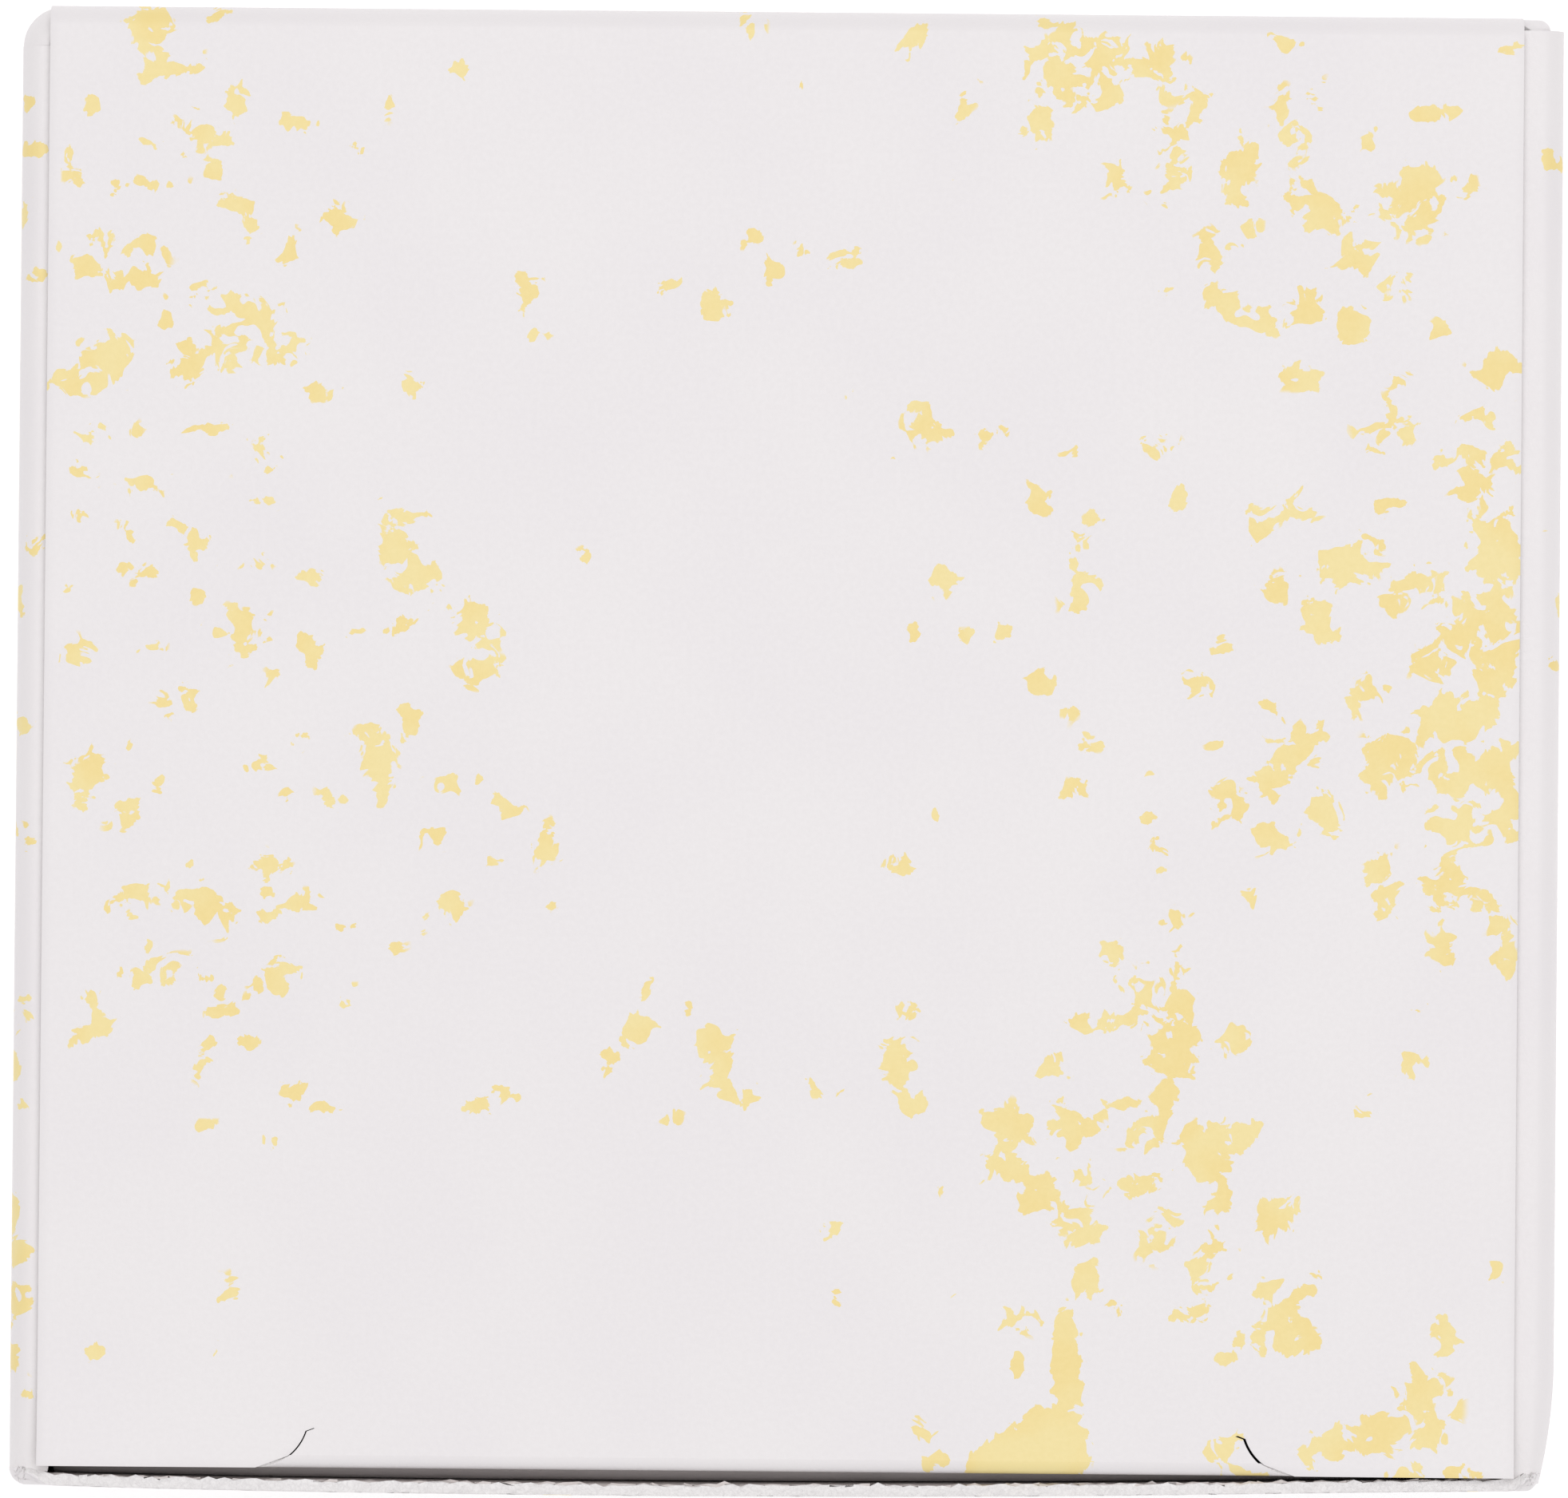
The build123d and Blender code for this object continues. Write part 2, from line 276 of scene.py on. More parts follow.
# %% Dabs on the lid, in millimetres from its middle
LID_DABS = (
    # back left
    (-25.2, 27.9, 1.4, 1.5, 0, 0.95), (-22.4, 28.6, 0.8, 0.4, 40, 0.85), (-25.1, 26.3, 1.3, 0.7, 10, 1),
    (-23.3, 26.5, 0.6, 0.5, 0, 0.9), (-21.7, 25.2, 0.7, 1.1, 0, 1), (-23.1, 23.9, 1.5, 1.4, 0, 0.75),
    (-25.3, 23.5, 0.9, 0.5, -15, 0.9), (-27.5, 25.0, 0.5, 0.5, 0, 0.9),
    (-28.1, 22.3, 0.5, 1.3, 25, 0.85), (-22.6, 22.5, 0.6, 0.6, 0, 0.9), (-17.1, 23.3, 0.4, 0.5, 20, 0.9),
    (-26.6, 21.6, 0.4, 0.4, 0, 0.9), (-28.7, 19.3, 0.4, 0.5, 0, 0.85), (-24.5, 16.6, 0.4, 0.8, 10, 0.85),
    (-19.3, 24.3, 1.2, 0.5, -10, 0.8), (-15.7, 25.0, 0.5, 0.7, 0, 0.8), (-13.0, 26.5, 0.6, 0.6, 0, 0.8),
    (-25.2, 21.8, 2.0, 0.5, 0, 0.55), (-22.1, 21.0, 1.4, 0.5, -10, 0.9),
    (-21.3, 20.0, 0.8, 0.5, -25, 0.9), (-17.7, 20.5, 1.1, 0.6, -20, 1), (-19.6, 19.3, 0.5, 1.0, -5, 0.9),
    (-26.4, 18.9, 2.4, 1.8, 0, 0.62), (-25.6, 18.1, 1.4, 0.6, 0, 0.95), (-10.3, 17.9, 0.75, 1.3, 10, 1),
    (-9.8, 16.0, 0.5, 0.5, 0, 0.8), (-4.6, 18.0, 0.8, 0.5, 20, 0.85), (-2.7, 17.1, 0.85, 0.85, 0, 1),
    (-1.3, 20.0, 0.6, 0.5, 0, 0.85), (-0.6, 18.6, 0.6, 1.0, 10, 0.85), (0.7, 19.4, 0.5, 0.5, 0, 0.8),
    (2.4, 19.2, 0.9, 0.6, 0, 1), (-21.2, 16.6, 3.4, 1.3, -25, 0.7), (-22.3, 15.6, 1.5, 1.5, 0, 0.85),
    (-23.7, 14.5, 1.0, 0.9, 0, 1.15), (-23.6, 15.6, 0.6, 0.4, 0, 0.9), (-26.9, 14.9, 1.5, 1.8, 0, 0.78),
    (-28.6, 13.8, 0.9, 1.0, 0, 0.9), (-18.3, 13.8, 1.3, 0.6, -10, 0.6), (-14.7, 13.9, 0.6, 0.6, 0, 0.9),
    (-20.5, 15.0, 1.4, 0.7, 0, 0.75),
    # left
    (-27.0, 12.0, 2.0, 0.8, 0, 0.6), (-22.8, 12.1, 1.3, 0.45, 0, 0.85),
    (-20.9, 11.2, 1.2, 1.2, 40, 0.75), (-25.1, 9.9, 1.4, 0.5, 0, 0.85), (-27.6, 10.4, 0.9, 0.7, 0, 0.7),
    (-27.8, 8.7, 0.6, 0.4, 0, 0.85), (-20.6, 9.3, 0.8, 0.5, 0, 0.85), (-15.3, 7.8, 1.0, 2.2, 15, 0.95),
    (-14.5, 6.3, 1.3, 0.9, 0, 0.95), (-14.3, 8.8, 0.4, 0.6, 20, 0.85), (-23.3, 7.6, 0.7, 1.7, 40, 0.85),
    (-25.6, 6.4, 1.5, 0.9, -30, 0.8), (-25.8, 8.0, 0.5, 0.9, 20, 0.8), (-21.0, 6.9, 1.0, 0.4, 0, 0.85),
    (-28.2, 5.8, 0.5, 0.4, 0, 0.85), (-23.1, 5.6, 0.5, 0.4, 0, 0.85), (-18.7, 6.3, 0.8, 0.6, 0, 0.8),
    (-12.2, 4.4, 1.6, 1.2, -30, 0.82), (-12.0, 2.7, 1.3, 0.8, 10, 0.85), (-21.4, 4.0, 1.8, 1.5, 0, 0.74),
    (-18.7, 3.4, 0.8, 1.0, 30, 0.85), (-27.8, 3.2, 0.9, 0.7, 0, 1), (-25.1, 3.4, 0.7, 0.45, 0, 0.85),
    (-17.0, 4.2, 1.2, 0.6, 0, 0.65), (-15.2, 4.4, 1.6, 0.5, 25, 0.7), (-24.0, 1.5, 1.1, 1.3, 0, 0.62),
    (-20.0, 2.0, 0.6, 0.9, 0, 0.7), (-14.7, 0.7, 0.8, 1.1, 0, 1), (-16.1, -0.6, 1.2, 1.5, 10, 0.78),
    (-15.7, -2.0, 0.6, 0.8, 0, 0.95), (-18.8, -0.2, 0.6, 0.4, -20, 0.8),
    (-27.5, -1.8, 1.1, 1.6, 0, 0.88), (-25.6, -0.5, 0.45, 0.45, 0, 0.9),
    (-24.7, -1.9, 0.45, 0.5, 0, 0.9), (-20.9, -1.2, 1.4, 0.5, 0, 0.75),
    (-25.9, -3.2, 0.9, 1.2, -30, 0.68), (-17.6, -2.5, 1.0, 0.5, -20, 0.75),
    (-19.5, -2.3, 0.4, 0.45, 0, 0.85), (-13.4, -1.9, 0.9, 0.8, 0, 0.68),
    (-10.9, -2.6, 1.6, 0.42, -45, 0.8), (-12.0, -1.6, 0.4, 0.4, 0, 0.9),
    (-9.1, -4.2, 1.0, 1.3, 20, 0.72), (-13.6, -3.9, 0.9, 0.5, 10, 0.95),
    (-11.4, -5.0, 0.5, 0.4, 30, 0.95), (-23.3, -5.1, 0.4, 0.5, 0, 0.9), (-25.5, -6.5, 2.0, 1.1, 5, 0.7),
    (-22.5, -6.9, 1.9, 1.0, -30, 0.88), (-20.3, -6.6, 0.7, 1.0, 0, 0.75),
    (-18.7, -6.6, 1.4, 0.6, 5, 0.9), (-20.1, -5.1, 1.0, 0.5, -20, 0.8), (-13.0, -6.8, 0.7, 0.9, 30, 0.8),
    (-17.2, -7.6, 0.5, 0.4, 0, 0.85), (-14.3, -7.3, 0.5, 0.5, 0, 0.95), (-8.8, -6.8, 0.5, 0.4, 0, 0.85),
    (-15.3, -8.5, 0.5, 0.4, 0, 0.95), (-25.0, -8.4, 0.4, 0.4, 0, 0.9), (-24.8, -9.4, 2.6, 0.7, 10, 0.74),
    (-19.9, -9.5, 1.5, 1.1, 0, 0.76), (-22.3, -9.8, 1.0, 0.45, -25, 0.8),
    (-27.2, -10.4, 0.5, 0.9, 20, 0.7), (-17.2, -10.2, 0.6, 0.5, 0, 0.85),
    (-21.8, -10.8, 0.9, 0.6, 0, 1.1), (-22.4, -12.3, 0.5, 0.4, -20, 0.9),
    (-27.1, -11.7, 1.3, 0.6, 15, 0.9), (-21.0, -12.1, 0.7, 0.5, 0, 0.95),
    (-22.6, -13.1, 0.5, 1.1, 0, 0.65), (-19.4, -14.2, 1.2, 0.6, 20, 0.6),
    (-17.9, -14.7, 0.9, 0.4, 0, 0.9), (-22.7, -15.6, 0.6, 0.4, 0, 0.8),
    (-20.1, -16.1, 0.4, 0.5, 20, 0.75), (-21.6, -22.0, 0.8, 0.9, 0, 0.62),
    (-22.0, -24.0, 0.5, 0.6, 0, 0.72), (-27.0, -24.4, 0.6, 0.5, 30, 0.85),
    # middle
    (-7.9, 7.2, 0.5, 0.5, 30, 0.8), (-5.3, -9.9, 0.5, 1.0, 15, 0.85), (-5.6, -11.6, 1.4, 0.8, 50, 1.0),
    (-6.7, -12.8, 0.9, 0.6, 60, 0.95), (-2.5, -12.1, 1.1, 1.5, 25, 0.98),
    (-1.8, -14.0, 1.6, 0.9, -25, 0.8), (-3.6, -10.7, 0.5, 0.6, 30, 0.75), (-11.7, -14.6, 0.9, 0.6, 0, 1),
    (-10.8, -14.0, 1.2, 0.5, -30, 0.9), (4.6, -12.6, 1.0, 1.5, 0, 0.95), (5.2, -10.6, 0.7, 0.6, 0, 0.8),
    (5.3, -14.4, 1.2, 0.7, 10, 0.95), (1.7, -13.7, 1.2, 0.5, -15, 0.7), (-4.2, -14.9, 0.5, 0.4, 0, 0.7),
    (-1.6, 28.3, 0.7, 1.0, 15, 0.88), (4.9, 27.7, 0.75, 1.2, 0, 1), (8.0, 26.7, 0.6, 0.5, -20, 0.85),
    (0.6, 25.9, 0.4, 0.5, 30, 0.7), (7.0, 25.2, 0.4, 0.6, -20, 0.95), (6.7, 22.4, 0.5, 0.4, 0, 0.85),
    (2.7, 14.1, 0.5, 0.4, 0, 0.8), (5.5, 12.7, 0.9, 1.1, 10, 0.98), (6.3, 12.1, 0.7, 0.4, 10, 0.8),
    (8.2, 12.2, 1.3, 0.5, 10, 0.78), (4.5, 11.4, 0.5, 0.4, 0, 0.75), (6.4, 6.5, 0.7, 0.8, 0, 1),
    (5.3, 4.3, 0.4, 0.6, 0, 0.75), (7.2, 4.1, 0.6, 0.4, 15, 0.75), (8.8, 4.3, 0.6, 0.5, 30, 0.75),
    (6.2, -2.9, 0.4, 0.5, -20, 0.75), (5.9, -4.1, 0.4, 0.4, 0, 0.75), (4.7, -4.9, 0.9, 0.6, 0, 0.75),
    # back right
    (10.6, 26.9, 1.6, 2.4, 0, 0.78), (12.4, 27.2, 2.0, 1.2, 20, 0.8), (14.6, 26.8, 2.0, 1.4, -30, 0.82),
    (11.8, 25.6, 2.4, 0.9, 0, 0.74), (16.4, 25.2, 0.9, 0.8, 0, 0.9), (15.4, 23.6, 0.9, 1.8, 15, 0.9),
    (9.9, 24.3, 0.7, 1.0, 0, 0.8), (13.1, 22.4, 0.8, 1.0, 0, 0.85), (15.1, 21.9, 1.1, 0.8, 35, 0.75),
    (19.7, 27.7, 1.3, 0.6, 0, 0.75), (19.2, 25.2, 1.2, 1.3, 0, 0.66), (20.9, 25.7, 0.7, 1.0, 0, 0.62),
    (25.6, 25.0, 1.5, 0.45, 3, 0.9), (28.8, 27.7, 0.8, 0.4, 10, 0.85), (18.0, 22.7, 1.0, 2.0, -5, 0.95),
    (20.3, 23.8, 1.3, 1.0, 30, 0.66), (23.2, 23.6, 0.6, 1.2, 0, 0.68), (24.9, 21.6, 1.7, 2.0, 35, 0.95),
    (23.6, 21.0, 1.6, 0.7, -10, 0.85), (26.8, 21.8, 0.8, 1.3, 0, 0.66),
    (20.9, 21.2, 1.8, 1.3, -40, 0.84), (18.2, 20.4, 0.8, 0.9, 0, 0.68), (22.6, 19.5, 1.6, 1.1, 35, 0.86),
    (16.9, 19.5, 1.0, 1.2, 0, 0.76), (17.2, 17.6, 1.1, 1.2, -40, 0.9), (18.8, 17.0, 1.8, 0.8, -8, 0.92),
    (20.6, 17.3, 1.1, 1.1, 0, 0.98), (22.4, 16.7, 0.9, 1.1, 10, 0.85), (24.0, 18.2, 1.1, 0.9, 0, 0.68),
    (26.0, 16.5, 0.6, 0.5, 0, 0.8), (15.2, 18.1, 0.5, 0.5, 0, 0.75), (20.7, 14.7, 1.4, 0.8, 0, 0.8),
    (24.5, 14.7, 1.1, 0.5, 5, 0.75), (24.0, 12.7, 1.8, 1.4, 15, 0.68), (28.3, 14.8, 1.5, 1.2, 0, 0.88),
    (27.6, 13.0, 1.2, 0.6, 0, 0.6),
    # right
    (9.9, 9.6, 1.1, 0.7, -30, 0.84), (12.4, 8.8, 0.6, 0.6, 0, 0.85), (15.6, 9.7, 0.5, 0.9, 0, 0.9),
    (18.8, 8.9, 0.7, 1.1, 0, 0.76), (20.2, 9.2, 1.3, 1.2, 0, 0.72), (24.0, 9.6, 0.9, 0.6, 30, 0.8),
    (11.7, 7.4, 0.6, 1.5, 0, 0.84), (11.8, 5.9, 0.9, 1.1, -25, 0.84), (11.4, 11.5, 0.5, 0.4, 0, 0.75),
    (14.8, 11.8, 1.2, 0.8, 0, 0.62), (27.3, 10.6, 1.2, 1.8, 0, 0.86), (28.7, 11.4, 0.8, 1.2, 20, 0.8),
    (28.3, 7.8, 1.8, 2.2, 0, 0.95), (25.9, 11.4, 0.9, 0.8, 0, 0.66), (22.6, 7.2, 2.4, 1.4, 15, 0.86),
    (19.6, 6.1, 1.2, 0.8, -20, 0.84), (24.8, 6.2, 1.9, 1.6, 0, 0.72), (21.4, 4.8, 1.1, 1.7, 25, 0.84),
    (27.7, 5.0, 2.4, 1.9, 0, 0.93), (25.9, 3.6, 1.4, 1.4, 0, 0.76), (28.3, 2.6, 1.2, 2.4, 0, 0.9),
    (26.6, 1.2, 2.6, 1.6, 10, 0.92), (24.1, -0.6, 1.6, 1.9, -15, 0.96), (26.9, -0.9, 2.2, 1.5, 0, 0.86),
    (28.6, -0.8, 0.9, 1.8, 0, 0.84), (23.0, 2.1, 1.5, 1.2, 0, 0.66), (16.6, 2.4, 1.0, 0.9, 0, 0.64),
    (17.4, 3.9, 0.8, 0.5, 15, 0.7), (10.2, 2.3, 0.8, 0.9, 0, 0.98), (11.5, 1.3, 0.5, 0.5, 0, 0.72),
    (12.3, 0.0, 0.7, 0.9, 20, 0.84), (19.4, 1.4, 0.9, 0.6, -20, 0.76), (20.4, 0.0, 1.7, 1.3, 30, 0.84),
    (19.3, -1.6, 1.3, 0.8, 35, 0.84), (17.6, -2.3, 1.3, 1.4, 0, 0.8), (19.3, -3.5, 1.6, 0.9, -20, 0.88),
    (21.6, -2.7, 1.0, 1.9, 25, 0.86), (17.3, 0.2, 0.5, 0.6, 30, 0.72), (14.7, -1.1, 0.5, 0.4, 0, 0.7),
    (11.5, -1.9, 0.9, 0.5, 20, 0.84), (14.6, -2.9, 0.5, 0.4, 0, 0.76), (15.1, -4.0, 0.9, 0.4, 0, 0.8),
    (15.0, -5.0, 0.5, 0.4, 0, 0.76), (27.0, -3.1, 2.0, 1.6, 30, 0.76), (28.9, -2.4, 0.7, 2.0, 0, 0.8),
    (24.0, -5.7, 0.9, 2.2, 10, 0.8), (26.2, -5.6, 1.4, 1.4, 0, 0.76), (28.0, -6.0, 1.4, 0.7, -30, 0.78),
    (28.7, -7.6, 0.8, 2.0, 0, 0.88), (26.2, -8.0, 1.1, 1.1, 0, 0.76), (18.4, -5.9, 0.8, 0.9, 0, 0.7),
    # front right
    (15.6, -7.0, 1.2, 0.5, 10, 0.76), (16.2, -8.3, 1.6, 1.1, 0, 0.68), (13.1, -8.6, 0.6, 1.2, 0, 0.88),
    (14.6, -9.9, 1.4, 1.3, 0, 0.7), (16.0, -10.4, 1.1, 1.2, 0, 0.8), (12.6, -11.1, 1.9, 0.7, 5, 0.84),
    (15.6, -11.9, 1.6, 2.1, 0, 0.94), (18.1, -11.6, 0.8, 0.9, 0, 0.8), (10.9, -12.7, 0.9, 1.3, 0, 0.68),
    (15.2, -14.0, 1.0, 1.1, 0, 0.82), (9.0, -15.2, 1.7, 1.1, 10, 0.94), (9.0, -16.8, 1.5, 0.9, -15, 0.9),
    (11.4, -15.2, 1.6, 1.4, 0, 0.78), (13.3, -14.6, 1.2, 0.8, 0, 0.7), (14.6, -15.4, 1.5, 1.2, 0, 0.72),
    (17.0, -16.0, 1.9, 1.4, 0, 1.25), (18.6, -15.3, 1.2, 0.5, 30, 0.85),
    (10.2, -17.8, 1.5, 1.1, 0, 0.92), (12.3, -17.2, 1.0, 1.3, 0, 0.66),
    (14.4, -17.4, 1.3, 0.8, 10, 0.84), (11.9, -19.0, 1.3, 1.5, 20, 0.95),
    (15.0, -19.3, 1.3, 1.4, 0, 0.85), (17.4, -18.4, 0.6, 2.2, -6, 1.0),
    (19.7, -18.6, 1.2, 1.5, -25, 0.74), (12.3, -21.0, 0.9, 1.2, 10, 0.85),
    (17.2, -20.6, 1.4, 1.2, 0, 0.74), (19.4, -21.4, 0.8, 0.8, 0, 0.86),
    (20.3, -23.2, 1.6, 1.4, -35, 1.15), (18.8, -23.5, 1.2, 1.2, 0, 0.72),
    (21.0, -21.6, 1.0, 0.6, 50, 0.85), (17.8, -24.3, 0.9, 0.5, 20, 0.85),
    (16.4, -22.3, 1.2, 0.8, 10, 0.86), (13.4, -22.5, 0.7, 0.6, 0, 0.66), (28.6, -20.8, 0.5, 0.8, 0, 0.8),
    (26.4, -23.3, 0.9, 1.2, 0, 0.74), (6.6, -17.8, 0.4, 0.7, 10, 0.76), (2.2, -19.6, 0.5, 1.0, 0, 0.66),
    (2.3, -21.9, 0.4, 0.5, 0, 0.76), (25.2, -10.4, 0.4, 0.5, 0, 0.72), (25.1, -12.7, 0.8, 1.0, 20, 0.68),
    (23.2, -14.3, 0.5, 0.8, 0, 0.74),
    # along the tuck crease
    (11.5, -24.6, 0.65, 2.8, 3, 1.7), (10.9, -27.8, 1.8, 2.0, 0, 2.4), (9.3, -28.3, 2.1, 1.3, 20, 1.8),
    (10.0, -26.9, 0.9, 0.6, 20, 0.9), (6.4, -28.4, 1.0, 0.5, 8, 0.85), (5.8, -26.9, 0.8, 1.1, 0, 0.72),
    (9.5, -22.8, 1.6, 0.7, -10, 0.76), (7.7, -22.2, 1.0, 0.5, -20, 0.66),
    (9.5, -24.6, 0.5, 1.0, 0, 0.66), (25.6, -26.2, 1.7, 2.2, 0, 0.93), (23.6, -27.2, 2.0, 1.3, 10, 0.7),
    (21.8, -27.9, 1.8, 0.9, 0, 0.78), (17.9, -27.8, 1.4, 0.8, 30, 0.84), (18.4, -28.9, 2.2, 0.5, 5, 0.9),
    (27.4, -28.7, 1.4, 0.5, 5, 0.84), (25.0, -28.8, 1.2, 0.6, 0, 0.8),
)
print(len(LID_DABS), "dabs on the lid")

# %% [markdown]
# The other faces get dabs of the same kinds, scattered in loose drifts with a fixed seed, because a print
# that runs off one panel turns up on the next.

# %% Scattered dabs, and laying them on a board
DRIFT_LONG, DRIFT_WIDE = 3.2, 2.6  # how far a drift's dabs stray from its middle, in millimetres
THINNEST_DAB = 0.45


def drifts(seed, x_low, x_high, y_low, y_high, count):
    """Loose drifts of dabs over a rectangle, in millimetres."""
    chance = random.Random(seed)
    dabs = []
    for _ in range(count):
        x = chance.uniform(x_low, x_high)
        y = chance.uniform(y_low, y_high)
        for _ in range(chance.randint(4, 15)):
            long = chance.choice((0.6, 0.9, 1.4, 2.0))
            wide = long * chance.uniform(0.4, 1.0)
            dabs.append((
                x + chance.gauss(0, DRIFT_LONG), y + chance.gauss(0, DRIFT_WIDE),
                long, max(THINNEST_DAB, wide),
                chance.uniform(-60, 60), chance.uniform(0.66, 1.0),
            ))
    return dabs


def store_blank(piece, points):
    """Stores each point's place on the flat blank, in millimetres."""
    blank = piece.data.attributes.new("blank", "FLOAT_VECTOR", "POINT")
    blank.data.foreach_set("vector", points.astype(np.float32).ravel())


def lay_ink(board, dabs, middle=(0, 0)):
    """Stores each point's place on the flat blank, and how strong the dabs are there, before any fold."""
    points = points_of(board) / MM
    store_blank(board, points)
    across = points[:, 0] - middle[0] / MM
    up = points[:, 1] - middle[1] / MM
    strength = np.zeros(len(points))
    for x, y, long, wide, turn, strong in dabs:
        c, s = math.cos(math.radians(turn)), math.sin(math.radians(turn))
        along = ((across - x) * c + (up - y) * s) / long
        beside = ((up - y) * c - (across - x) * s) / wide
        strength = np.maximum(strength, strong * (1 - along**2 - beside**2))
    ink = board.data.attributes.new("ink", "FLOAT", "POINT")
    ink.data.foreach_set("value", strength.astype(np.float32))


BASE_DABS = drifts(31, -27, 27, -26, 26, 14)
print(len(BASE_DABS), "dabs scattered on the base")

# %% [markdown]
# ## Board and print materials
# Folding boxboard has three looks. Outside it is clay coated: smooth, barely satin, very slightly
# mottled. Inside it is bare and a little rougher. A cut edge shows torn white fibre. Each is a Principled
# shader whose colour and bump come from noise on the blank's own coordinates, in millimetres.

# %% Node helpers
def new_material(name, roughness):
    """A material with its Principled shader's roughness set."""
    material = bpy.data.materials.new(name)
    material.use_nodes = True
    shader = material.node_tree.nodes["Principled BSDF"]
    shader.inputs["Roughness"].default_value = roughness
    return material, shader


def add_node(material, kind, inputs=(), **settings):
    """Adds a node, sets it, and links or sets each of its named inputs."""
    made = material.node_tree.nodes.new(kind)
    for setting, value in settings.items():
        setattr(made, setting, value)
    for socket, value in dict(inputs).items():
        if isinstance(value, bpy.types.NodeSocket):
            material.node_tree.links.new(value, made.inputs[socket])
        else:
            made.inputs[socket].default_value = value
    return made


def join(material, output, socket):
    """Links one socket to another."""
    material.node_tree.links.new(output, socket)


def place_on(material, attribute=None):
    """The vector that a pattern is drawn on: an attribute of the piece, or its object coordinates."""
    if attribute:
        return add_node(material, "ShaderNodeAttribute", attribute_name=attribute).outputs["Vector"]
    coordinates = add_node(material, "ShaderNodeTexCoord").outputs["Object"]
    scaled = add_node(material, "ShaderNodeVectorMath", {0: coordinates, 1: (1 / MM, 1 / MM, 1 / MM)},
                      operation="MULTIPLY")
    return scaled.outputs["Vector"]


def noise(material, vector, scale, detail=2, roughness=0.5, distortion=0.0):
    """A noise texture's value."""
    made = add_node(material, "ShaderNodeTexNoise", {
        "Vector": vector, "Scale": scale, "Detail": detail, "Roughness": roughness, "Distortion": distortion})
    return made.outputs["Fac"]


def blend_colours(material, amount, first, second):
    """Mixes two colours by an amount."""
    made = add_node(material, "ShaderNodeMix", {"Factor": amount}, data_type="RGBA")
    for socket, value in ((made.inputs[6], first), (made.inputs[7], second)):
        if isinstance(value, bpy.types.NodeSocket):
            join(material, value, socket)
        else:
            socket.default_value = (*value, 1)
    return made.outputs[2]


def remap(material, value, low, high, new_low=0.0, new_high=1.0, smooth=True):
    """Maps a range of values to another, eased at both ends."""
    made = add_node(material, "ShaderNodeMapRange", {
        "Value": value, "From Min": low, "From Max": high, "To Min": new_low, "To Max": new_high},
        interpolation_type="SMOOTHSTEP" if smooth else "LINEAR")
    return made.outputs["Result"]


def arithmetic(material, operation, first, second):
    """One Math node."""
    return add_node(material, "ShaderNodeMath", {0: first, 1: second}, operation=operation).outputs["Value"]


def bump(material, shader, height, depth):
    """Feeds a height, in millimetres of depth, to the shader's normal."""
    made = add_node(material, "ShaderNodeBump", {
        "Height": height, "Distance": depth * MM, "Strength": 1.0})
    join(material, made.outputs["Normal"], shader.inputs["Normal"])


def colour(material, shader, output):
    """Feeds a colour to the shader."""
    join(material, output, shader.inputs["Base Color"])


print("node helpers ready")

# %% Board materials
BOARD_WHITE = (0.838, 0.812, 0.822)
BOARD_WARM = (0.852, 0.829, 0.832)
INK_PALE = (0.912, 0.772, 0.365)
INK_DEEP = (0.907, 0.732, 0.305)
BARE_DARK, BARE_LIGHT = (0.66, 0.605, 0.585), (0.765, 0.72, 0.70)
CUT_DARK, CUT_LIGHT = (0.83, 0.81, 0.81), (0.96, 0.945, 0.94)
TEAR, CHIP = 2.3, 0.55  # how deep the noise and the cells eat into a dab's edge
FLECK_EDGE = (0.56, 0.62)  # the strengths between which a fleck starts
NO_INK = (0.02, 0.2)  # the strengths below which noise alone can't make a fleck


def printed_board():
    """Clay-coated white board with torn yellow flecks."""
    material, shader = new_material("printed_board", 0.46)
    blank = place_on(material, "blank")
    ink = add_node(material, "ShaderNodeAttribute", attribute_name="ink").outputs["Fac"]
    tear = noise(material, blank, 1.1, detail=2.8, roughness=0.54, distortion=1.0)
    chip = add_node(material, "ShaderNodeTexVoronoi", {"Vector": blank, "Scale": 1.25}).outputs["Distance"]
    torn = arithmetic(material, "MULTIPLY", arithmetic(material, "SUBTRACT", tear, 0.5), TEAR)
    chipped = arithmetic(material, "MULTIPLY", arithmetic(material, "SUBTRACT", chip, 0.45), CHIP)
    ragged = arithmetic(material, "ADD", torn, chipped)
    shape = arithmetic(material, "ADD", ink, ragged)
    inside = remap(material, shape, *FLECK_EDGE)
    present = remap(material, ink, *NO_INK)
    fleck = arithmetic(material, "MULTIPLY", inside, present)
    mottle = remap(material, noise(material, blank, 0.12, detail=3), 0.3, 0.7)
    paper = blend_colours(material, mottle, BOARD_WHITE, BOARD_WARM)
    tint = remap(material, noise(material, blank, 0.35, detail=2), 0.35, 0.65)
    yellow = blend_colours(material, tint, INK_PALE, INK_DEEP)
    colour(material, shader, blend_colours(material, fleck, paper, yellow))
    grain = noise(material, blank, 4.5, detail=4, roughness=0.6)
    sheen = remap(material, grain, 0.3, 0.7, 0.4, 0.52)
    join(material, sheen, shader.inputs["Roughness"])
    bump(material, shader, grain, 0.012)
    return material


def bare_board(name, attribute, stretch, scale, distortion):
    """The uncoated inside of the board, with its fibres drawn out along the grain."""
    material, shader = new_material(name, 0.85)
    fibres = add_node(material, "ShaderNodeVectorMath", {0: place_on(material, attribute), 1: stretch},
                      operation="MULTIPLY")
    fibre = noise(material, fibres.outputs["Vector"], scale, detail=5, roughness=0.65, distortion=distortion)
    tone = remap(material, fibre, 0.3, 0.7)
    colour(material, shader, blend_colours(material, tone, BARE_DARK, BARE_LIGHT))
    bump(material, shader, fibre, 0.03)
    return material


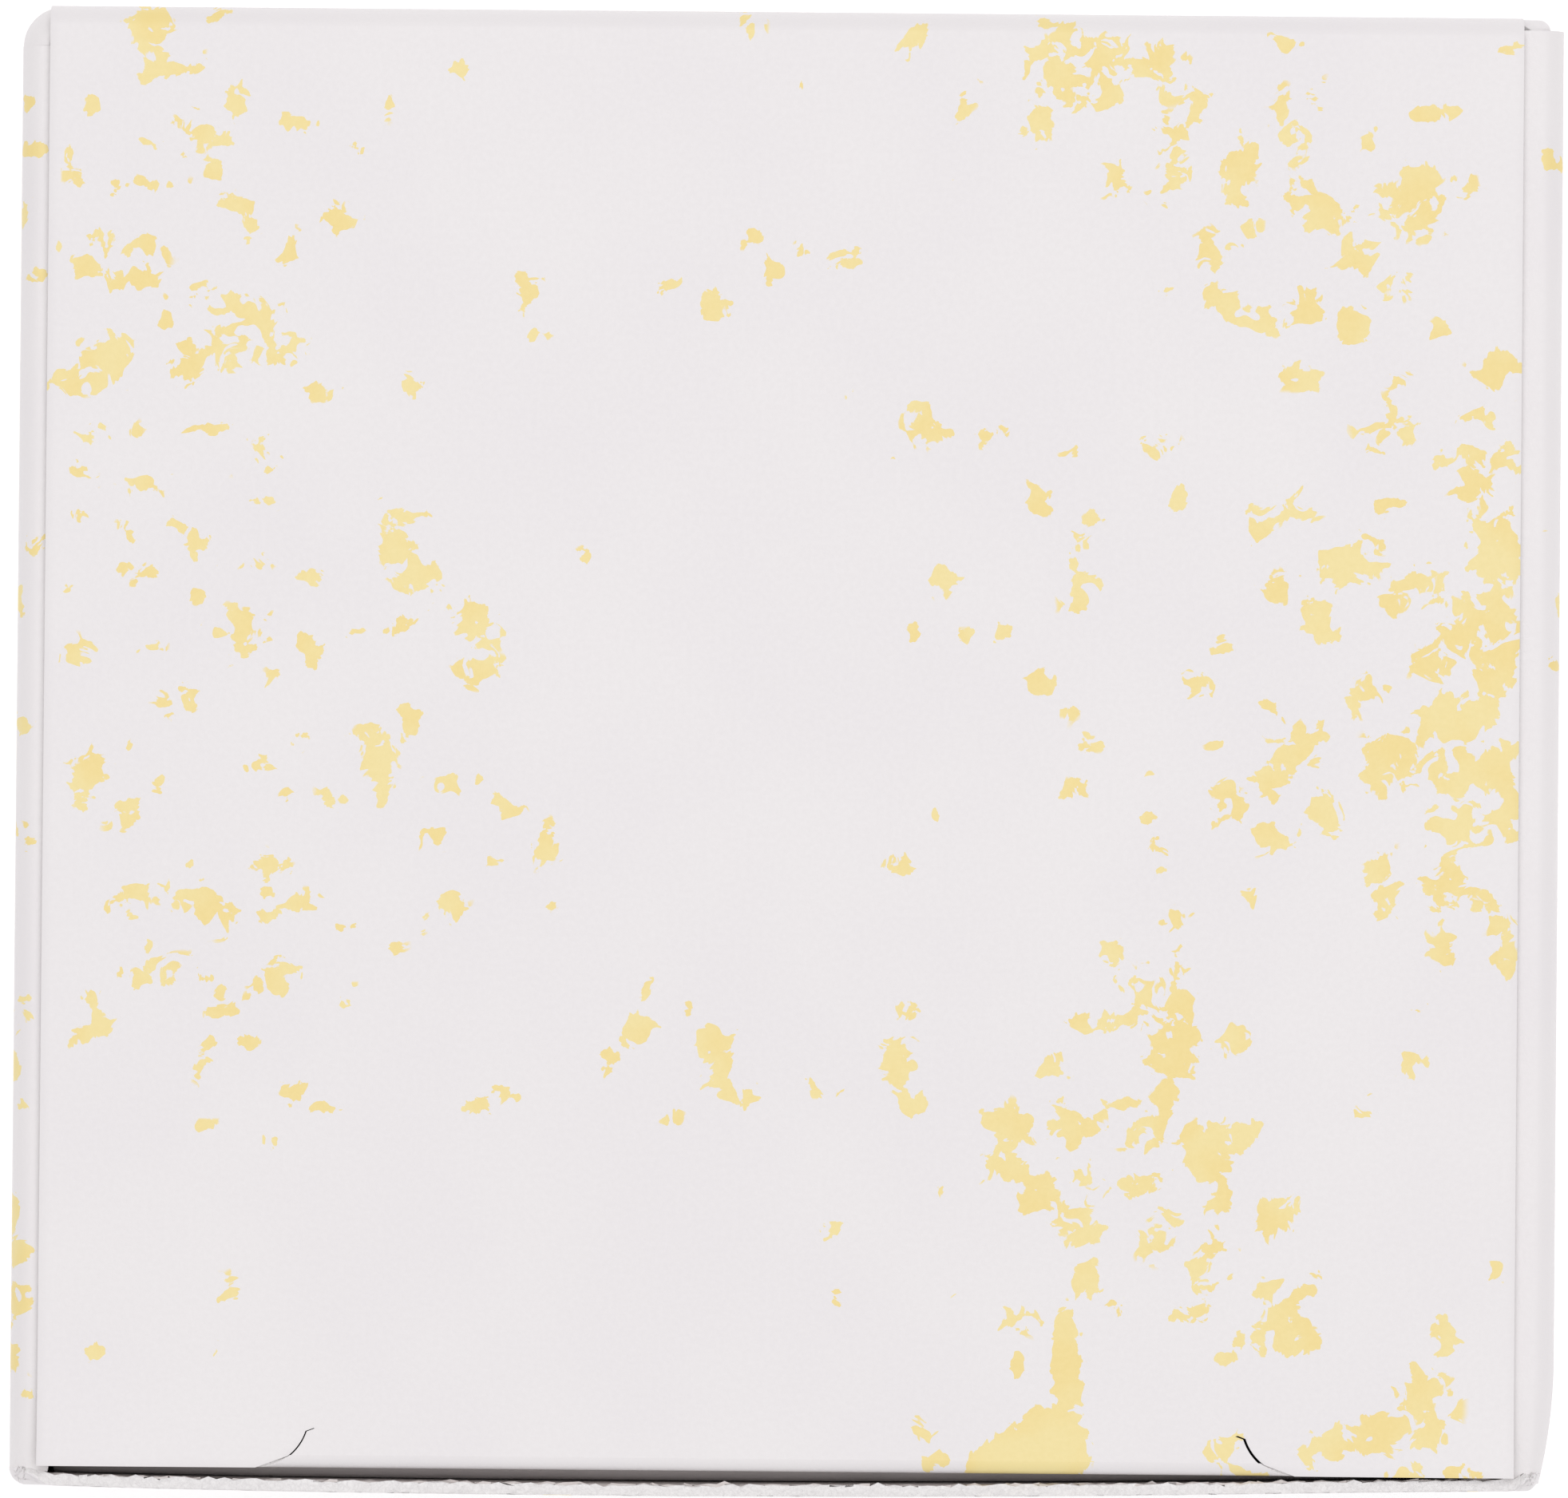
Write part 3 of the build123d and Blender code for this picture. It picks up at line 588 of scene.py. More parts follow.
def cut_board():
    """Torn white fibre on a die-cut edge."""
    material, shader = new_material("cut_board", 0.92)
    blank = place_on(material, "blank")
    fibre = noise(material, blank, 7.5, detail=5, roughness=0.7, distortion=0.8)
    tone = remap(material, fibre, 0.3, 0.68)
    colour(material, shader, blend_colours(material, tone, CUT_DARK, CUT_LIGHT))
    bump(material, shader, fibre, 0.045)
    return material


PRINTED = printed_board()
BARE = bare_board("bare_board", "blank", stretch=(1.2, 4.0, 1.0), scale=2.2, distortion=0.4)
CUT = cut_board()
print("board materials:", PRINTED.name, BARE.name, CUT.name)

# %% [markdown]
# ## Finishing a board
# The knife leaves a slightly soft edge, so the cut edges get a very small bevel. The seams where one
# panel's mesh meets the next on flat board are left sharp and touching, so that no line shows.

# %% Finish
KNIFE_BEVEL = 0.05 * MM
ON_SEAM = 0.002 * MM  # how near an edge's middle has to be to count as on the seam
CREASE_SMOOTH = math.radians(38)


def soften_edges(board, seams=()):
    """Bevels the cut edges of a flat board that aren't on a seam. A seam is an axis and a place on it."""
    mesh = board.data
    sides = {}
    for face in mesh.polygons:
        for key in face.edge_keys:
            sides.setdefault(key, []).append(face.material_index)
    weight = mesh.attributes.new("bevel_weight_edge", "FLOAT", "EDGE")
    for edge in mesh.edges:
        slots = sides[tuple(sorted(edge.vertices))]
        middle = (mesh.vertices[edge.vertices[0]].co + mesh.vertices[edge.vertices[1]].co) / 2
        on_seam = any(abs(middle[axis] - value) < ON_SEAM for axis, value in seams)
        if len(set(slots)) == 2 and CUT_SLOT in slots and not on_seam:
            weight.data[edge.index].value = 1
    modify(board, "BEVEL", limit_method="WEIGHT", width=KNIFE_BEVEL, segments=2)


def finish_board(board, node):
    """Smooth shading over the creases, sharp at the edges, in place of its CAD node."""
    only(board)
    bpy.ops.object.shade_smooth_by_angle(angle=CREASE_SMOOTH)
    low = np.min(points_of(board), axis=0) / MM
    high = np.max(points_of(board), axis=0) / MM
    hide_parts(node)
    print(f"{board.name}: {len(board.data.polygons)} faces, {np.round(low, 1)} to {np.round(high, 1)} mm")


print(f"cut edges get a bevel of {KNIFE_BEVEL / MM:.2f} mm")

# %% [markdown]
# ## The lid
# The lid is cut with its rear crease still attached. At the front, the middle stretch runs on into the
# tuck flap, and the two outer stretches are tabs with a raw edge. A slit lock curves from each end of the
# tuck crease up into the lid: a die knife cuts it, so it is a thin curved blade subtracted from the board.

# %% Slit locks
SEAM_Y = LID_FRONT + TUCK_CREASE  # where the lid's mesh meets the tuck flap's
SLIT_WIDTHS = {-1: 0.055 * MM, 1: 0.1 * MM}
SLIT_RADIUS = 2.1 * MM
SLIT_START = math.acos(1 - TUCK_CREASE / SLIT_RADIUS)
SLIT_END = math.radians(72)
SLIT_SEAM_X = LOCK_INNER - SLIT_RADIUS * math.sin(SLIT_START)
SLIT_LEAD = math.radians(4)  # how far the blade starts before the lid's mesh does
FLICK = (0.32 * MM, 0.12 * MM)  # the straight bit at the slit's end, across and along


def slit_blade(side, width):
    """A thin plate spun round the slit's arc, with a flick extruded at its end."""
    start = SLIT_START - SLIT_LEAD
    middle = Vector((side * LOCK_INNER, LID_FRONT + SLIT_RADIUS, 0))
    foot = middle + SLIT_RADIUS * Vector((-side * math.sin(start), -math.cos(start), 0))
    bpy.ops.mesh.primitive_plane_add(size=1, location=foot, rotation=(QUARTER, 0, QUARTER - side * start))
    blade = bpy.context.object
    blade.scale = (width, 4 * BOARD, 1)
    apply_place()
    bpy.ops.object.mode_set(mode="EDIT")
    bpy.ops.mesh.select_all(action="SELECT")
    bpy.ops.mesh.spin(steps=8, angle=SLIT_END - start, center=middle, axis=(0, 0, side))
    bpy.ops.mesh.extrude_region_move(TRANSFORM_OT_translate={"value": (-side * FLICK[0], FLICK[1], 0)})
    bpy.ops.object.mode_set(mode="OBJECT")
    face_outwards(blade)
    add_board_slots(blade)
    for face in blade.data.polygons:
        face.material_index = CUT_SLOT
    return blade


def carve(board, blade):
    """Subtracts a blade from a board and throws the blade away."""
    modify(board, "BOOLEAN", object=blade, solver="EXACT")
    bpy.data.objects.remove(blade)


def cut_diagonal(board, side, start_y, run):
    """Scores the diagonal that leads from an end of the tuck crease up to its slit."""
    cut(board, (side * LOCK_INNER, start_y, 0), (run, side * (LOCK_INNER - SLIT_SEAM_X), 0))


def diagonal_x(y, start_y, run):
    """How far from the middle the two diagonals are, at a place along them."""
    return LOCK_INNER + (SLIT_SEAM_X - LOCK_INNER) * min(max((y - start_y) / run, 0), 1)


print(f"slits leave the tuck crease at x = {LOCK_INNER / MM:.2f} mm, to both sides")

# %% The closure's lid
LID_MIDDLE = (0, (HALF_D + LID_FRONT) / 2)  # the dabs on the lid are laid out from here
TAB_SPRING = 5 * MM  # how far back from the lid's front edge its tabs bend
TAB_ROOT = 1 * MM  # how far inside the slits' ends they start to


def make_lid(name):
    """The lid's board, with its slits cut and its rear crease scored, still flat."""
    rear_start = HALF_D - REAR_CREASE
    rear_end = rear_start + crease_length(REAR_CREASE) + REAR_LEG
    board = flat_board(name, -HALF_LID, HALF_LID, LID_FRONT, rear_end, LID_CELL)
    score(board, 1, rear_start, crease_length(REAR_CREASE))
    for side in (-1, 1):
        cut_diagonal(board, side, LID_FRONT, TUCK_CREASE)
    cut(board, (0, SEAM_Y, 0), (0, 1, 0))
    remove_faces(board, lambda middle: middle.y < SEAM_Y
                 and abs(middle.x) < diagonal_x(middle.y, LID_FRONT, TUCK_CREASE))
    thicken(board)
    for side, width in SLIT_WIDTHS.items():
        carve(board, slit_blade(side, width))
    soften_edges(board, seams=((1, SEAM_Y), (1, rear_end)))
    return board, rear_start


def spring_tabs(board, lift):
    """Lifts the tabs' outer corners, which spring up where the tuck flap doesn't hold them."""
    points = points_of(board)
    out = ramp(np.abs(points[:, 0]), SLIT_SEAM_X - TAB_ROOT, HALF_LID - TAB_ROOT)
    front = ramp(points[:, 1], LID_FRONT + TAB_SPRING, LID_FRONT)
    points[:, 2] += lift * out**1.5 * front**2
    move_points(board, points)


def crown(board, rise):
    """Bows a closure panel up a little in the middle."""
    points = points_of(board)
    across = np.clip(1 - (points[:, 0] / HALF_LID) ** 2, 0, 1)
    along = np.clip(1 - (points[:, 1] / HALF_D) ** 2, 0, 1)
    points[:, 2] += rise * across * along
    move_points(board, points)


lid, rear_start = make_lid("lid_board")
lay_ink(lid, LID_DABS, LID_MIDDLE)
fold(lid, 1, rear_start, 1, REAR_CREASE)
spring_tabs(lid, lift=0.28 * MM)
crown(lid, rise=0.08 * MM)
place(lid, move=(LID_SHIFT, 0, HEIGHT))
finish_board(lid, "lid_panel")
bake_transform(lid)

# %% [markdown]
# ## Tuck flap
# The tuck flap runs on from the lid over a tight crease, hangs inside the front panel and leans inwards.
# Its shoulders are as wide as the lid, but the crease is only as long as the stretch between the slits.

# %% The closure's tuck flap
TUCK_ANGLE = math.radians(100)
TUCK_REACH = 14 * MM
SHOULDER_DROP = 0.15 * MM  # from the crease's foot to the flap's shoulders
SHOULDER_INSET = 0.55 * MM  # how much narrower than the lid the flap is, at each side
TIP_ROUND = 6 * MM
TIP_CUTS = 6
SPRING_DEPTH = 2.8  # how far down the flap meets the panel in front of it, in millimetres
TIP_CURL = (6, 14)  # the depths between which it curls back in, in millimetres


def make_tuck(name):
    """The tuck flap's board, with its crease scored, still flat."""
    crease_run = crease_length(TUCK_CREASE, TUCK_ANGLE)
    crease_end = SEAM_Y - crease_run
    shoulder = crease_end - SHOULDER_DROP
    tip = crease_end - TUCK_REACH + TUCK_CREASE
    half = HALF_LID - SHOULDER_INSET
    board = flat_board(name, -half, half, tip, SEAM_Y, FLAP_CELL)
    score(board, 1, SEAM_Y, -crease_run, steps=8)
    cut(board, (0, shoulder, 0), (0, 1, 0))
    for side in (-1, 1):
        cut_diagonal(board, side, crease_end, crease_run)
        cut(board, (side * LOCK_INNER, 0, 0), (1, 0, 0))
        for step in range(TIP_CUTS):
            turn = QUARTER * (step + 0.5) / TIP_CUTS
            corner = Vector((side * (half - TIP_ROUND), tip + TIP_ROUND, 0))
            outward = Vector((side * math.sin(turn), -math.cos(turn), 0))
            cut(board, corner + outward * TIP_ROUND, outward, clear=True)
    remove_faces(board, lambda middle: middle.y > shoulder
                 and abs(middle.x) > diagonal_x(middle.y, crease_end, crease_run))
    thicken(board)
    soften_edges(board, seams=((1, SEAM_Y),))
    return board


FRONT_PRESS = (  # how far the lid's tuck flap springs out, in millimetres, at places across it
    (-29, 0.34), (-25, 0.40), (-20, 0.46), (-12, 0.49), (0, 0.48), (10, 0.41), (16, 0.32), (20, 0.24),
    (25, 0.15), (29, 0.12),
)
BACK_PRESS = ((-29, 0.36), (29, 0.36))  # the same for the base's


def belly(board, press):
    """Springs a folded tuck flap out against the panel that it goes behind, and curls its tip back in."""
    points = points_of(board)
    depth = np.clip(-TUCK_CREASE - points[:, 2], 0, None) / MM
    lean = math.tan(TUCK_ANGLE - QUARTER)
    share = ease(ramp(depth, 0, SPRING_DEPTH)) * (1 - ease(ramp(depth, *TIP_CURL)))
    across, reach = zip(*press)
    points[:, 1] -= (lean * depth + np.interp(points[:, 0] / MM, across, reach)) * MM * share
    move_points(board, points)


tuck = make_tuck("tuck_board")
lay_ink(tuck, LID_DABS, LID_MIDDLE)
fold(tuck, 1, SEAM_Y, -1, TUCK_CREASE, TUCK_ANGLE)
belly(tuck, FRONT_PRESS)
place(tuck, move=(LID_SHIFT, 0, HEIGHT))
finish_board(tuck, "tuck_flap")
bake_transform(tuck)

# %% [markdown]
# ## Dust flaps
# A dust flap folds in from each side before the lid closes. Only its crease shows: a rounded strip beside
# the lid. Its front edge has a shoulder beside the tuck flap and its back edge a long taper.

# %% The closure's dust flaps
TAPER_IN, TAPER_BACK = 1.3 * MM, 19 * MM  # where the back edge's taper starts and ends
SHOULDER_TOP, SHOULDER_FOOT, SHOULDER_LEAN = 4.2 * MM, 2.5 * MM, 0.3 * MM  # the notch beside the tuck flap
NOTCH_X = 29.05 * MM
SQUEEZE = 0.75 * MM  # how far the front right corner is pressed in, and where that starts and ends
SQUEEZE_X, SQUEEZE_Y, SQUEEZE_Z = (29 * MM, 30.6 * MM), (-23.8 * MM, -29.2 * MM), (8 * MM, DUST_TOP)


def make_dust(name, side, rear, notch_x):
    """A dust flap and its crease, flat and then folded down at the side."""
    crease_x = HALF_W - SIDE_CREASE
    outer = crease_x + crease_length(SIDE_CREASE) + SIDE_LEG
    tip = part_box("right_dust_flap")[0].x
    front = CORNER_CREASE - HALF_D + HAIR
    board = flat_board(name, tip, outer, front, rear, FLAP_CELL)
    score(board, 0, crease_x, crease_length(SIDE_CREASE))
    trim(board, (crease_x - TAPER_IN, rear), (tip, HALF_D - TAPER_BACK))
    notch = ((tip, -HALF_D + SHOULDER_TOP), (notch_x - SHOULDER_LEAN, -HALF_D + SHOULDER_FOOT),
             (notch_x, front))
    for start, end in zip(notch, notch[1:]):
        cut(board, (*start, 0), right_of(start, end))

    def in_notch(middle):
        return all((middle - Vector((*start, 0))).dot(right_of(start, end)) > 0
                   for start, end in zip(notch, notch[1:]))

    remove_faces(board, in_notch)
    thicken(board)
    soften_edges(board, seams=((0, outer), (1, front), (1, rear)))
    lay_ink(board, SIDE_DABS[side], middle=(crease_x, 0))
    fold(board, 0, crease_x, 1, SIDE_CREASE)
    if side < 0:
        only(board)
        bpy.ops.transform.mirror(constraint_axis=(True, False, False))
        apply_place()
        face_outwards(board)
    return board


def squeeze_corner(board):
    """Presses the front right corner in a little, more towards its top."""
    points = points_of(board)
    outer, forward, up = (
        ramp(points[:, axis], *span) for axis, span in enumerate((SQUEEZE_X, SQUEEZE_Y, SQUEEZE_Z)))
    points[:, 0] -= SQUEEZE * forward**2 * outer * up**1.5
    move_points(board, points)


SIDE_DABS = {  # on each strip beside the lid, in millimetres from the middle of its crease
    -1: (
        (0.6, 25.4, 0.4, 0.6, 0, 0.8), (0.4, 23.6, 0.7, 0.6, 0, 0.9), (0.7, 21.3, 0.5, 0.9, 20, 0.85),
        (0.2, 18.7, 0.6, 0.5, 0, 0.85), (0.2, 8.3, 0.4, 0.7, 0, 0.8), (0.8, 5.8, 0.4, 0.6, 0, 0.85),
        (0.5, 0.9, 1.0, 0.5, 30, 0.9), (0.5, -3.6, 0.8, 0.5, 30, 0.9), (0.6, -10.6, 0.8, 0.9, 0, 0.95),
        (0.9, -12.8, 0.6, 0.9, 0, 0.95), (0.3, -14.4, 0.4, 0.5, 0, 0.7), (0.8, -18.4, 0.5, 1.0, 0, 0.9),
        (0.5, -19.8, 0.9, 0.8, 20, 0.95), (0.6, -22.0, 0.8, 0.9, 0, 0.95), (0.8, -24.4, 0.6, 1.2, 0, 0.9),
        (0.2, -25.6, 0.5, 0.6, 0, 0.75),
    ),
    1: (
        (0.3, 23.7, 0.4, 0.7, 20, 0.8), (0.7, 23.5, 0.3, 0.5, 20, 0.8), (0.4, 8.8, 0.5, 0.5, 0, 0.8),
        (0.9, 6.4, 0.4, 0.7, 0, 0.8), (0.6, 3.8, 0.6, 0.5, 20, 0.85),
    ),
}
for side, body, rear, notch_x in (
        (-1, "left_dust", HALF_D - ROLLED_CREASE - HAIR, NOTCH_X),
        (1, "right_dust", HALF_D - BOARD - 0.05 * MM, 28.7 * MM)):
    board = make_dust(f"{body}_board", side, rear, notch_x)
    place(board, move=(0, 0, DUST_TOP))
    if side > 0:
        squeeze_corner(board)
    finish_board(board, f"{body}_flap")
    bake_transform(board)

# %% [markdown]
# ## Walls
# The four walls are one strip of board, creased at three corners and glued at the fourth. Each is made
# lying down, folded at the ends that carry a corner's crease, and stood up. The front panel's free edge
# bows outwards, pushed by the tuck flap behind it.

# %% Walls
def stand(board, turn, move):
    """Stands a wall up with its printed face outwards, turned to its side of the carton."""
    place(board, turn=(QUARTER, 0, 0))
    place(board, turn=(0, 0, turn), move=move)


def roll_corner(board, z_start, z_end, x_start, x_end, angle):
    """Curls a corner's top inwards, more and more from x_start to x_end along the board."""
    points = points_of(board)
    past = points[:, 1] - z_start
    curl = angle * ease(ramp(points[:, 0], x_start, x_end))
    rolled = (past > 0) & (curl > 0.001)
    radius = (z_end - z_start) / curl[rolled]
    turned = past[rolled] / radius
    reach = radius + BOARD / 2 + points[rolled, 2]
    points[rolled, 1] = z_start + reach * np.sin(turned)
    points[rolled, 2] = reach * np.cos(turned) - radius - BOARD / 2
    move_points(board, points)


def wall(name, x_low, x_high, z_low, z_high, creases, raw, seed, cell=WALL_CELL, rolls=(), ear=None):
    """A wall lying down. Its ends are the last creases, or else x_low and x_high. creases are (place,
    direction, radius), and raw are its cut edges' places along z. rolls are roll_corner's arguments for
    each corner to curl, and an ear is a taller stretch, past a place along x."""
    left, right = x_low, x_high
    for start, direction, radius in creases:
        if direction > 0:
            right = start + crease_length(radius)
        else:
            left = start - crease_length(radius)
    board = flat_board(name, left, right, z_low, ear[1] if ear else z_high, cell)
    for start, direction, radius in creases:
        score(board, 0, start, direction * crease_length(radius), steps=8)
    if ear:
        cut(board, (ear[0], 0, 0), (1, 0, 0))
        cut(board, (0, z_high, 0), (0, 1, 0))
        remove_faces(board, lambda middle: middle.y > z_high and middle.x < ear[0])
    for z_start, z_end in sorted({roll[:2] for roll in rolls}):
        score(board, 1, z_start, z_end - z_start, steps=8)
    thicken(board)
    seams = [(0, left), (0, right)] + [(1, z) for z in (z_low, z_high) if z not in raw]
    soften_edges(board, seams=seams)
    lay_ink(board, drifts(seed, -28, 28, 2, 28, 9))
    for roll in rolls:
        roll_corner(board, *roll)
    for start, direction, radius in creases:
        fold(board, 0, start, direction, radius)
    return board


FRONT_BOW = (  # along the front panel's free edge: place across, and how far in it is, in millimetres
    (-29.9, 0.16), (-28.6, 0.15), (-25, 0.07), (-20, 0.0), (-12, -0.05), (-4, -0.06), (4, -0.01), (10, 0.06),
    (16, 0.17), (21, 0.28), (25, 0.37), (28, 0.42), (29.9, 0.44),
)


def bow_front(board):
    """Pushes the front panel's free edge out in the middle and lets its right end come in."""
    points = points_of(board)
    across, inward = zip(*FRONT_BOW)
    up = ramp(points[:, 2], 0, HEIGHT) ** 2
    points[:, 1] += np.interp(points[:, 0] / MM, across, inward) * MM * up
    move_points(board, points)


TORN_BAND = 0.3 * MM  # how far from the edge its points are moved
TORN_FROM = 0.6 * BOARD  # how deep in the board the tear also moves them across


def tear_edge(board, z_edge, depth):
    """Leaves a fibrous, uneven edge where the knife came through, roughest on the inside."""
    chance = random.Random(3)
    points = points_of(board)
    near = np.abs(points[:, 2] - z_edge) < TORN_BAND
    inside = near & (points[:, 1] > -HALF_D + TORN_FROM)
    jitter = np.array([(chance.gauss(0, 1), chance.gauss(0, 1)) for _ in points])
    points[near, 2] += 0.5 * depth * jitter[near, 1]
    points[inside, 1] += depth * jitter[inside, 0]
    move_points(board, points)


ROLL_DEPTH, ROLL_WIDTH = 0.85 * MM, 1.7 * MM  # the front panel's rolled top corners
EAR_HEIGHT = 1.41 * MM  # the ear that rolls over the back left corner
CREASE_Z = REAR_CREASE + REAR_LEG
SIDE_Z = HEIGHT - DUST_TOP + SIDE_CREASE + SIDE_LEG
front_ends = [(HALF_W - CORNER_CREASE, 1, CORNER_CREASE), (CORNER_CREASE - HALF_W, -1, CORNER_CREASE)]
front_rolls = [(FRONT_TOP - ROLL_DEPTH, FRONT_TOP, side * (HALF_W - ROLL_WIDTH),
                side * (HALF_W - CORNER_CREASE), math.radians(62)) for side in (-1, 1)]
front_wall = wall("front_wall", 0, 0, CREASE_Z, FRONT_TOP, front_ends, (FRONT_TOP,), seed=21, cell=FRONT_CELL,
                  rolls=front_rolls)
stand(front_wall, 0, (0, -HALF_D, 0))
tear_edge(front_wall, FRONT_TOP, depth=0.045 * MM)
bow_front(front_wall)
squeeze_corner(front_wall)
finish_board(front_wall, "front_panel")

seam_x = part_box("glue_flap")[1].x
back_ends = [(HALF_W - ROLLED_CREASE, 1, ROLLED_CREASE), (SEAM_CREASE - seam_x, -1, SEAM_CREASE)]
back_raw = HEIGHT - FRONT_TOP
back_top = HEIGHT - CREASE_Z
roll_foot = DUST_TOP - SIDE_CREASE - 0.2 * MM
roll_end = roll_foot + EAR_HEIGHT
ear_start = HALF_LID - LID_SHIFT - 0.1 * MM
back_rolls = [
    (roll_foot, roll_end, ear_start - 0.3 * MM, ear_start + 0.1 * MM, QUARTER),
    (back_top - 0.5 * MM, back_top, -HALF_LID - LID_SHIFT + 0.1 * MM, -HALF_LID - LID_SHIFT - 0.2 * MM, 1.4),
]
back_wall = wall("back_wall", 0, 0, back_raw, back_top, back_ends, (back_raw, roll_end), seed=22,
                 rolls=back_rolls, ear=(ear_start, roll_end))
stand(back_wall, math.pi, (0, HALF_D, 0))
finish_board(back_wall, "back_panel")

left_wall = wall("left_wall", ROLLED_CREASE - HALF_D, HALF_D - CORNER_CREASE, SIDE_Z, HEIGHT - SIDE_Z, [],
                 (), seed=23)
stand(left_wall, -QUARTER, (-HALF_W, 0, 0))
finish_board(left_wall, "left_panel")

right_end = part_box("right_panel")[1].y
right_wall = wall("right_wall", CORNER_CREASE - HALF_D, right_end, SIDE_Z, HEIGHT - SIDE_Z, [], (), seed=24)
stand(right_wall, QUARTER, (HALF_W, 0, 0))
squeeze_corner(right_wall)
finish_board(right_wall, "right_panel")
for board in (front_wall, back_wall, left_wall, right_wall):
    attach(board, "carton_tube")

# %% [markdown]
# ## Base
# The base is the same closure turned end for end, so it is hinged on the front panel and tucks in at the
# back. It is made by the same functions and turned half a turn about the carton's middle.

# %% Base closure
def turn_under(board):
    """Turns a finished closure board half round, to the other end of the carton."""
    place(board, turn=(math.pi, 0, 0), move=(0, 0, HEIGHT))


base, rear_start = make_lid("base_board")
lay_ink(base, BASE_DABS)
fold(base, 1, rear_start, 1, REAR_CREASE)
place(base, move=(0, 0, HEIGHT))
turn_under(base)
finish_board(base, "base_panel")
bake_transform(base)

base_tuck = make_tuck("base_tuck_board")
lay_ink(base_tuck, BASE_DABS)
fold(base_tuck, 1, SEAM_Y, -1, TUCK_CREASE, TUCK_ANGLE)
belly(base_tuck, BACK_PRESS)
place(base_tuck, move=(0, 0, HEIGHT))
turn_under(base_tuck)
finish_board(base_tuck, "base_tuck_flap")
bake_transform(base_tuck)

for side, word in ((-1, "left"), (1, "right")):
    board = make_dust(f"base_{word}_dust_board", side, HALF_D - 0.85 * MM, NOTCH_X)
    place(board, move=(0, 0, DUST_TOP))
    turn_under(board)
    finish_board(board, f"base_{word}_dust_flap")
    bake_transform(board)

# %% [markdown]
# ## Parts that stay as they are
# The glue flap, the dried glue in the side seam and the glue under the cake keep their CAD shapes, which
# are flat and plain on the real object too. Each gets its own finish, on its object coordinates.

# %% Finishes for the carried-over parts
def dried_glue(name, thin, thick):
    """Dried adhesive, clouded where it is thick, with small bubbles."""
    material, shader = new_material(name, 0.35)
    shader.inputs["Coat Weight"].default_value = 0.3
    place_mm = place_on(material)
    cloud = noise(material, place_mm, 0.7, detail=3, distortion=0.8)
    amount = remap(material, cloud, 0.35, 0.65)
    colour(material, shader, blend_colours(material, amount, thin, thick))
    bubbles = add_node(material, "ShaderNodeTexVoronoi", {"Vector": place_mm, "Scale": 2.4})
    bump(material, shader, remap(material, bubbles.outputs["Distance"], 0.0, 0.35), 0.05)
    return material


def refinish(node, material):
    """Puts a material on a CAD node in place of its plain one."""
    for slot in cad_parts[node].material_slots:
        slot.material = material
    print(node, "has", material.name)


refinish("glue_flap", bare_board("bare_flap", None, stretch=(1, 1, 1), scale=3.2, distortion=0.6))
refinish("seam_glue", dried_glue("seam_glue_film", (0.80, 0.77, 0.70), (0.66, 0.62, 0.54)))
refinish("glue_disc", dried_glue("cake_glue", (0.55, 0.36, 0.13), (0.38, 0.22, 0.07)))

# %% [markdown]
# ## The rosin
# Rosin is cooked, coloured and poured into a round mould, where it sets like glass: amber, glossy, see
# through at its edges, with a shallow dish where it shrank and a rim that the mould left. It starts as a
# cylinder. Insets make the rings of its top, which are moved down for the dish, and a bevel softens the
# rim. The light that goes into it is done by subsurface scattering, which is stable in a thick piece.
# Towards the rim the amber is also painted lighter, as a painted glow.

# %% Rosin cake
cake_low, cake_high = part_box("rosin_cake")
cake_radius = cake_high.x
cake_height = cake_high.z - cake_low.z
LIP = 1.5 * MM  # the flat ring inside the cake's rim
# the dish's rings, each with its width and its drop, in millimetres
TOP_RINGS = ((0.35, 0.06), (0.4, 0.12), (0.6, 0.10), (2.4, 0.07), (4.5, 0.05), (4.5, 0.02))
FOOT_RING = 2.5 * MM
RIPPLE = 0.012 * MM  # how deep the top's faint waves are
RIPPLE_SKIN = 0.9 * MM  # how far down they reach


def select_faces(piece, wanted):
    """Selects the faces whose middle and normal pass a test, and leaves edit mode on."""
    for face in piece.data.polygons:
        face.select = wanted(face.center, face.normal)
    bpy.ops.object.mode_set(mode="EDIT")
    bpy.ops.mesh.select_mode(type="FACE")


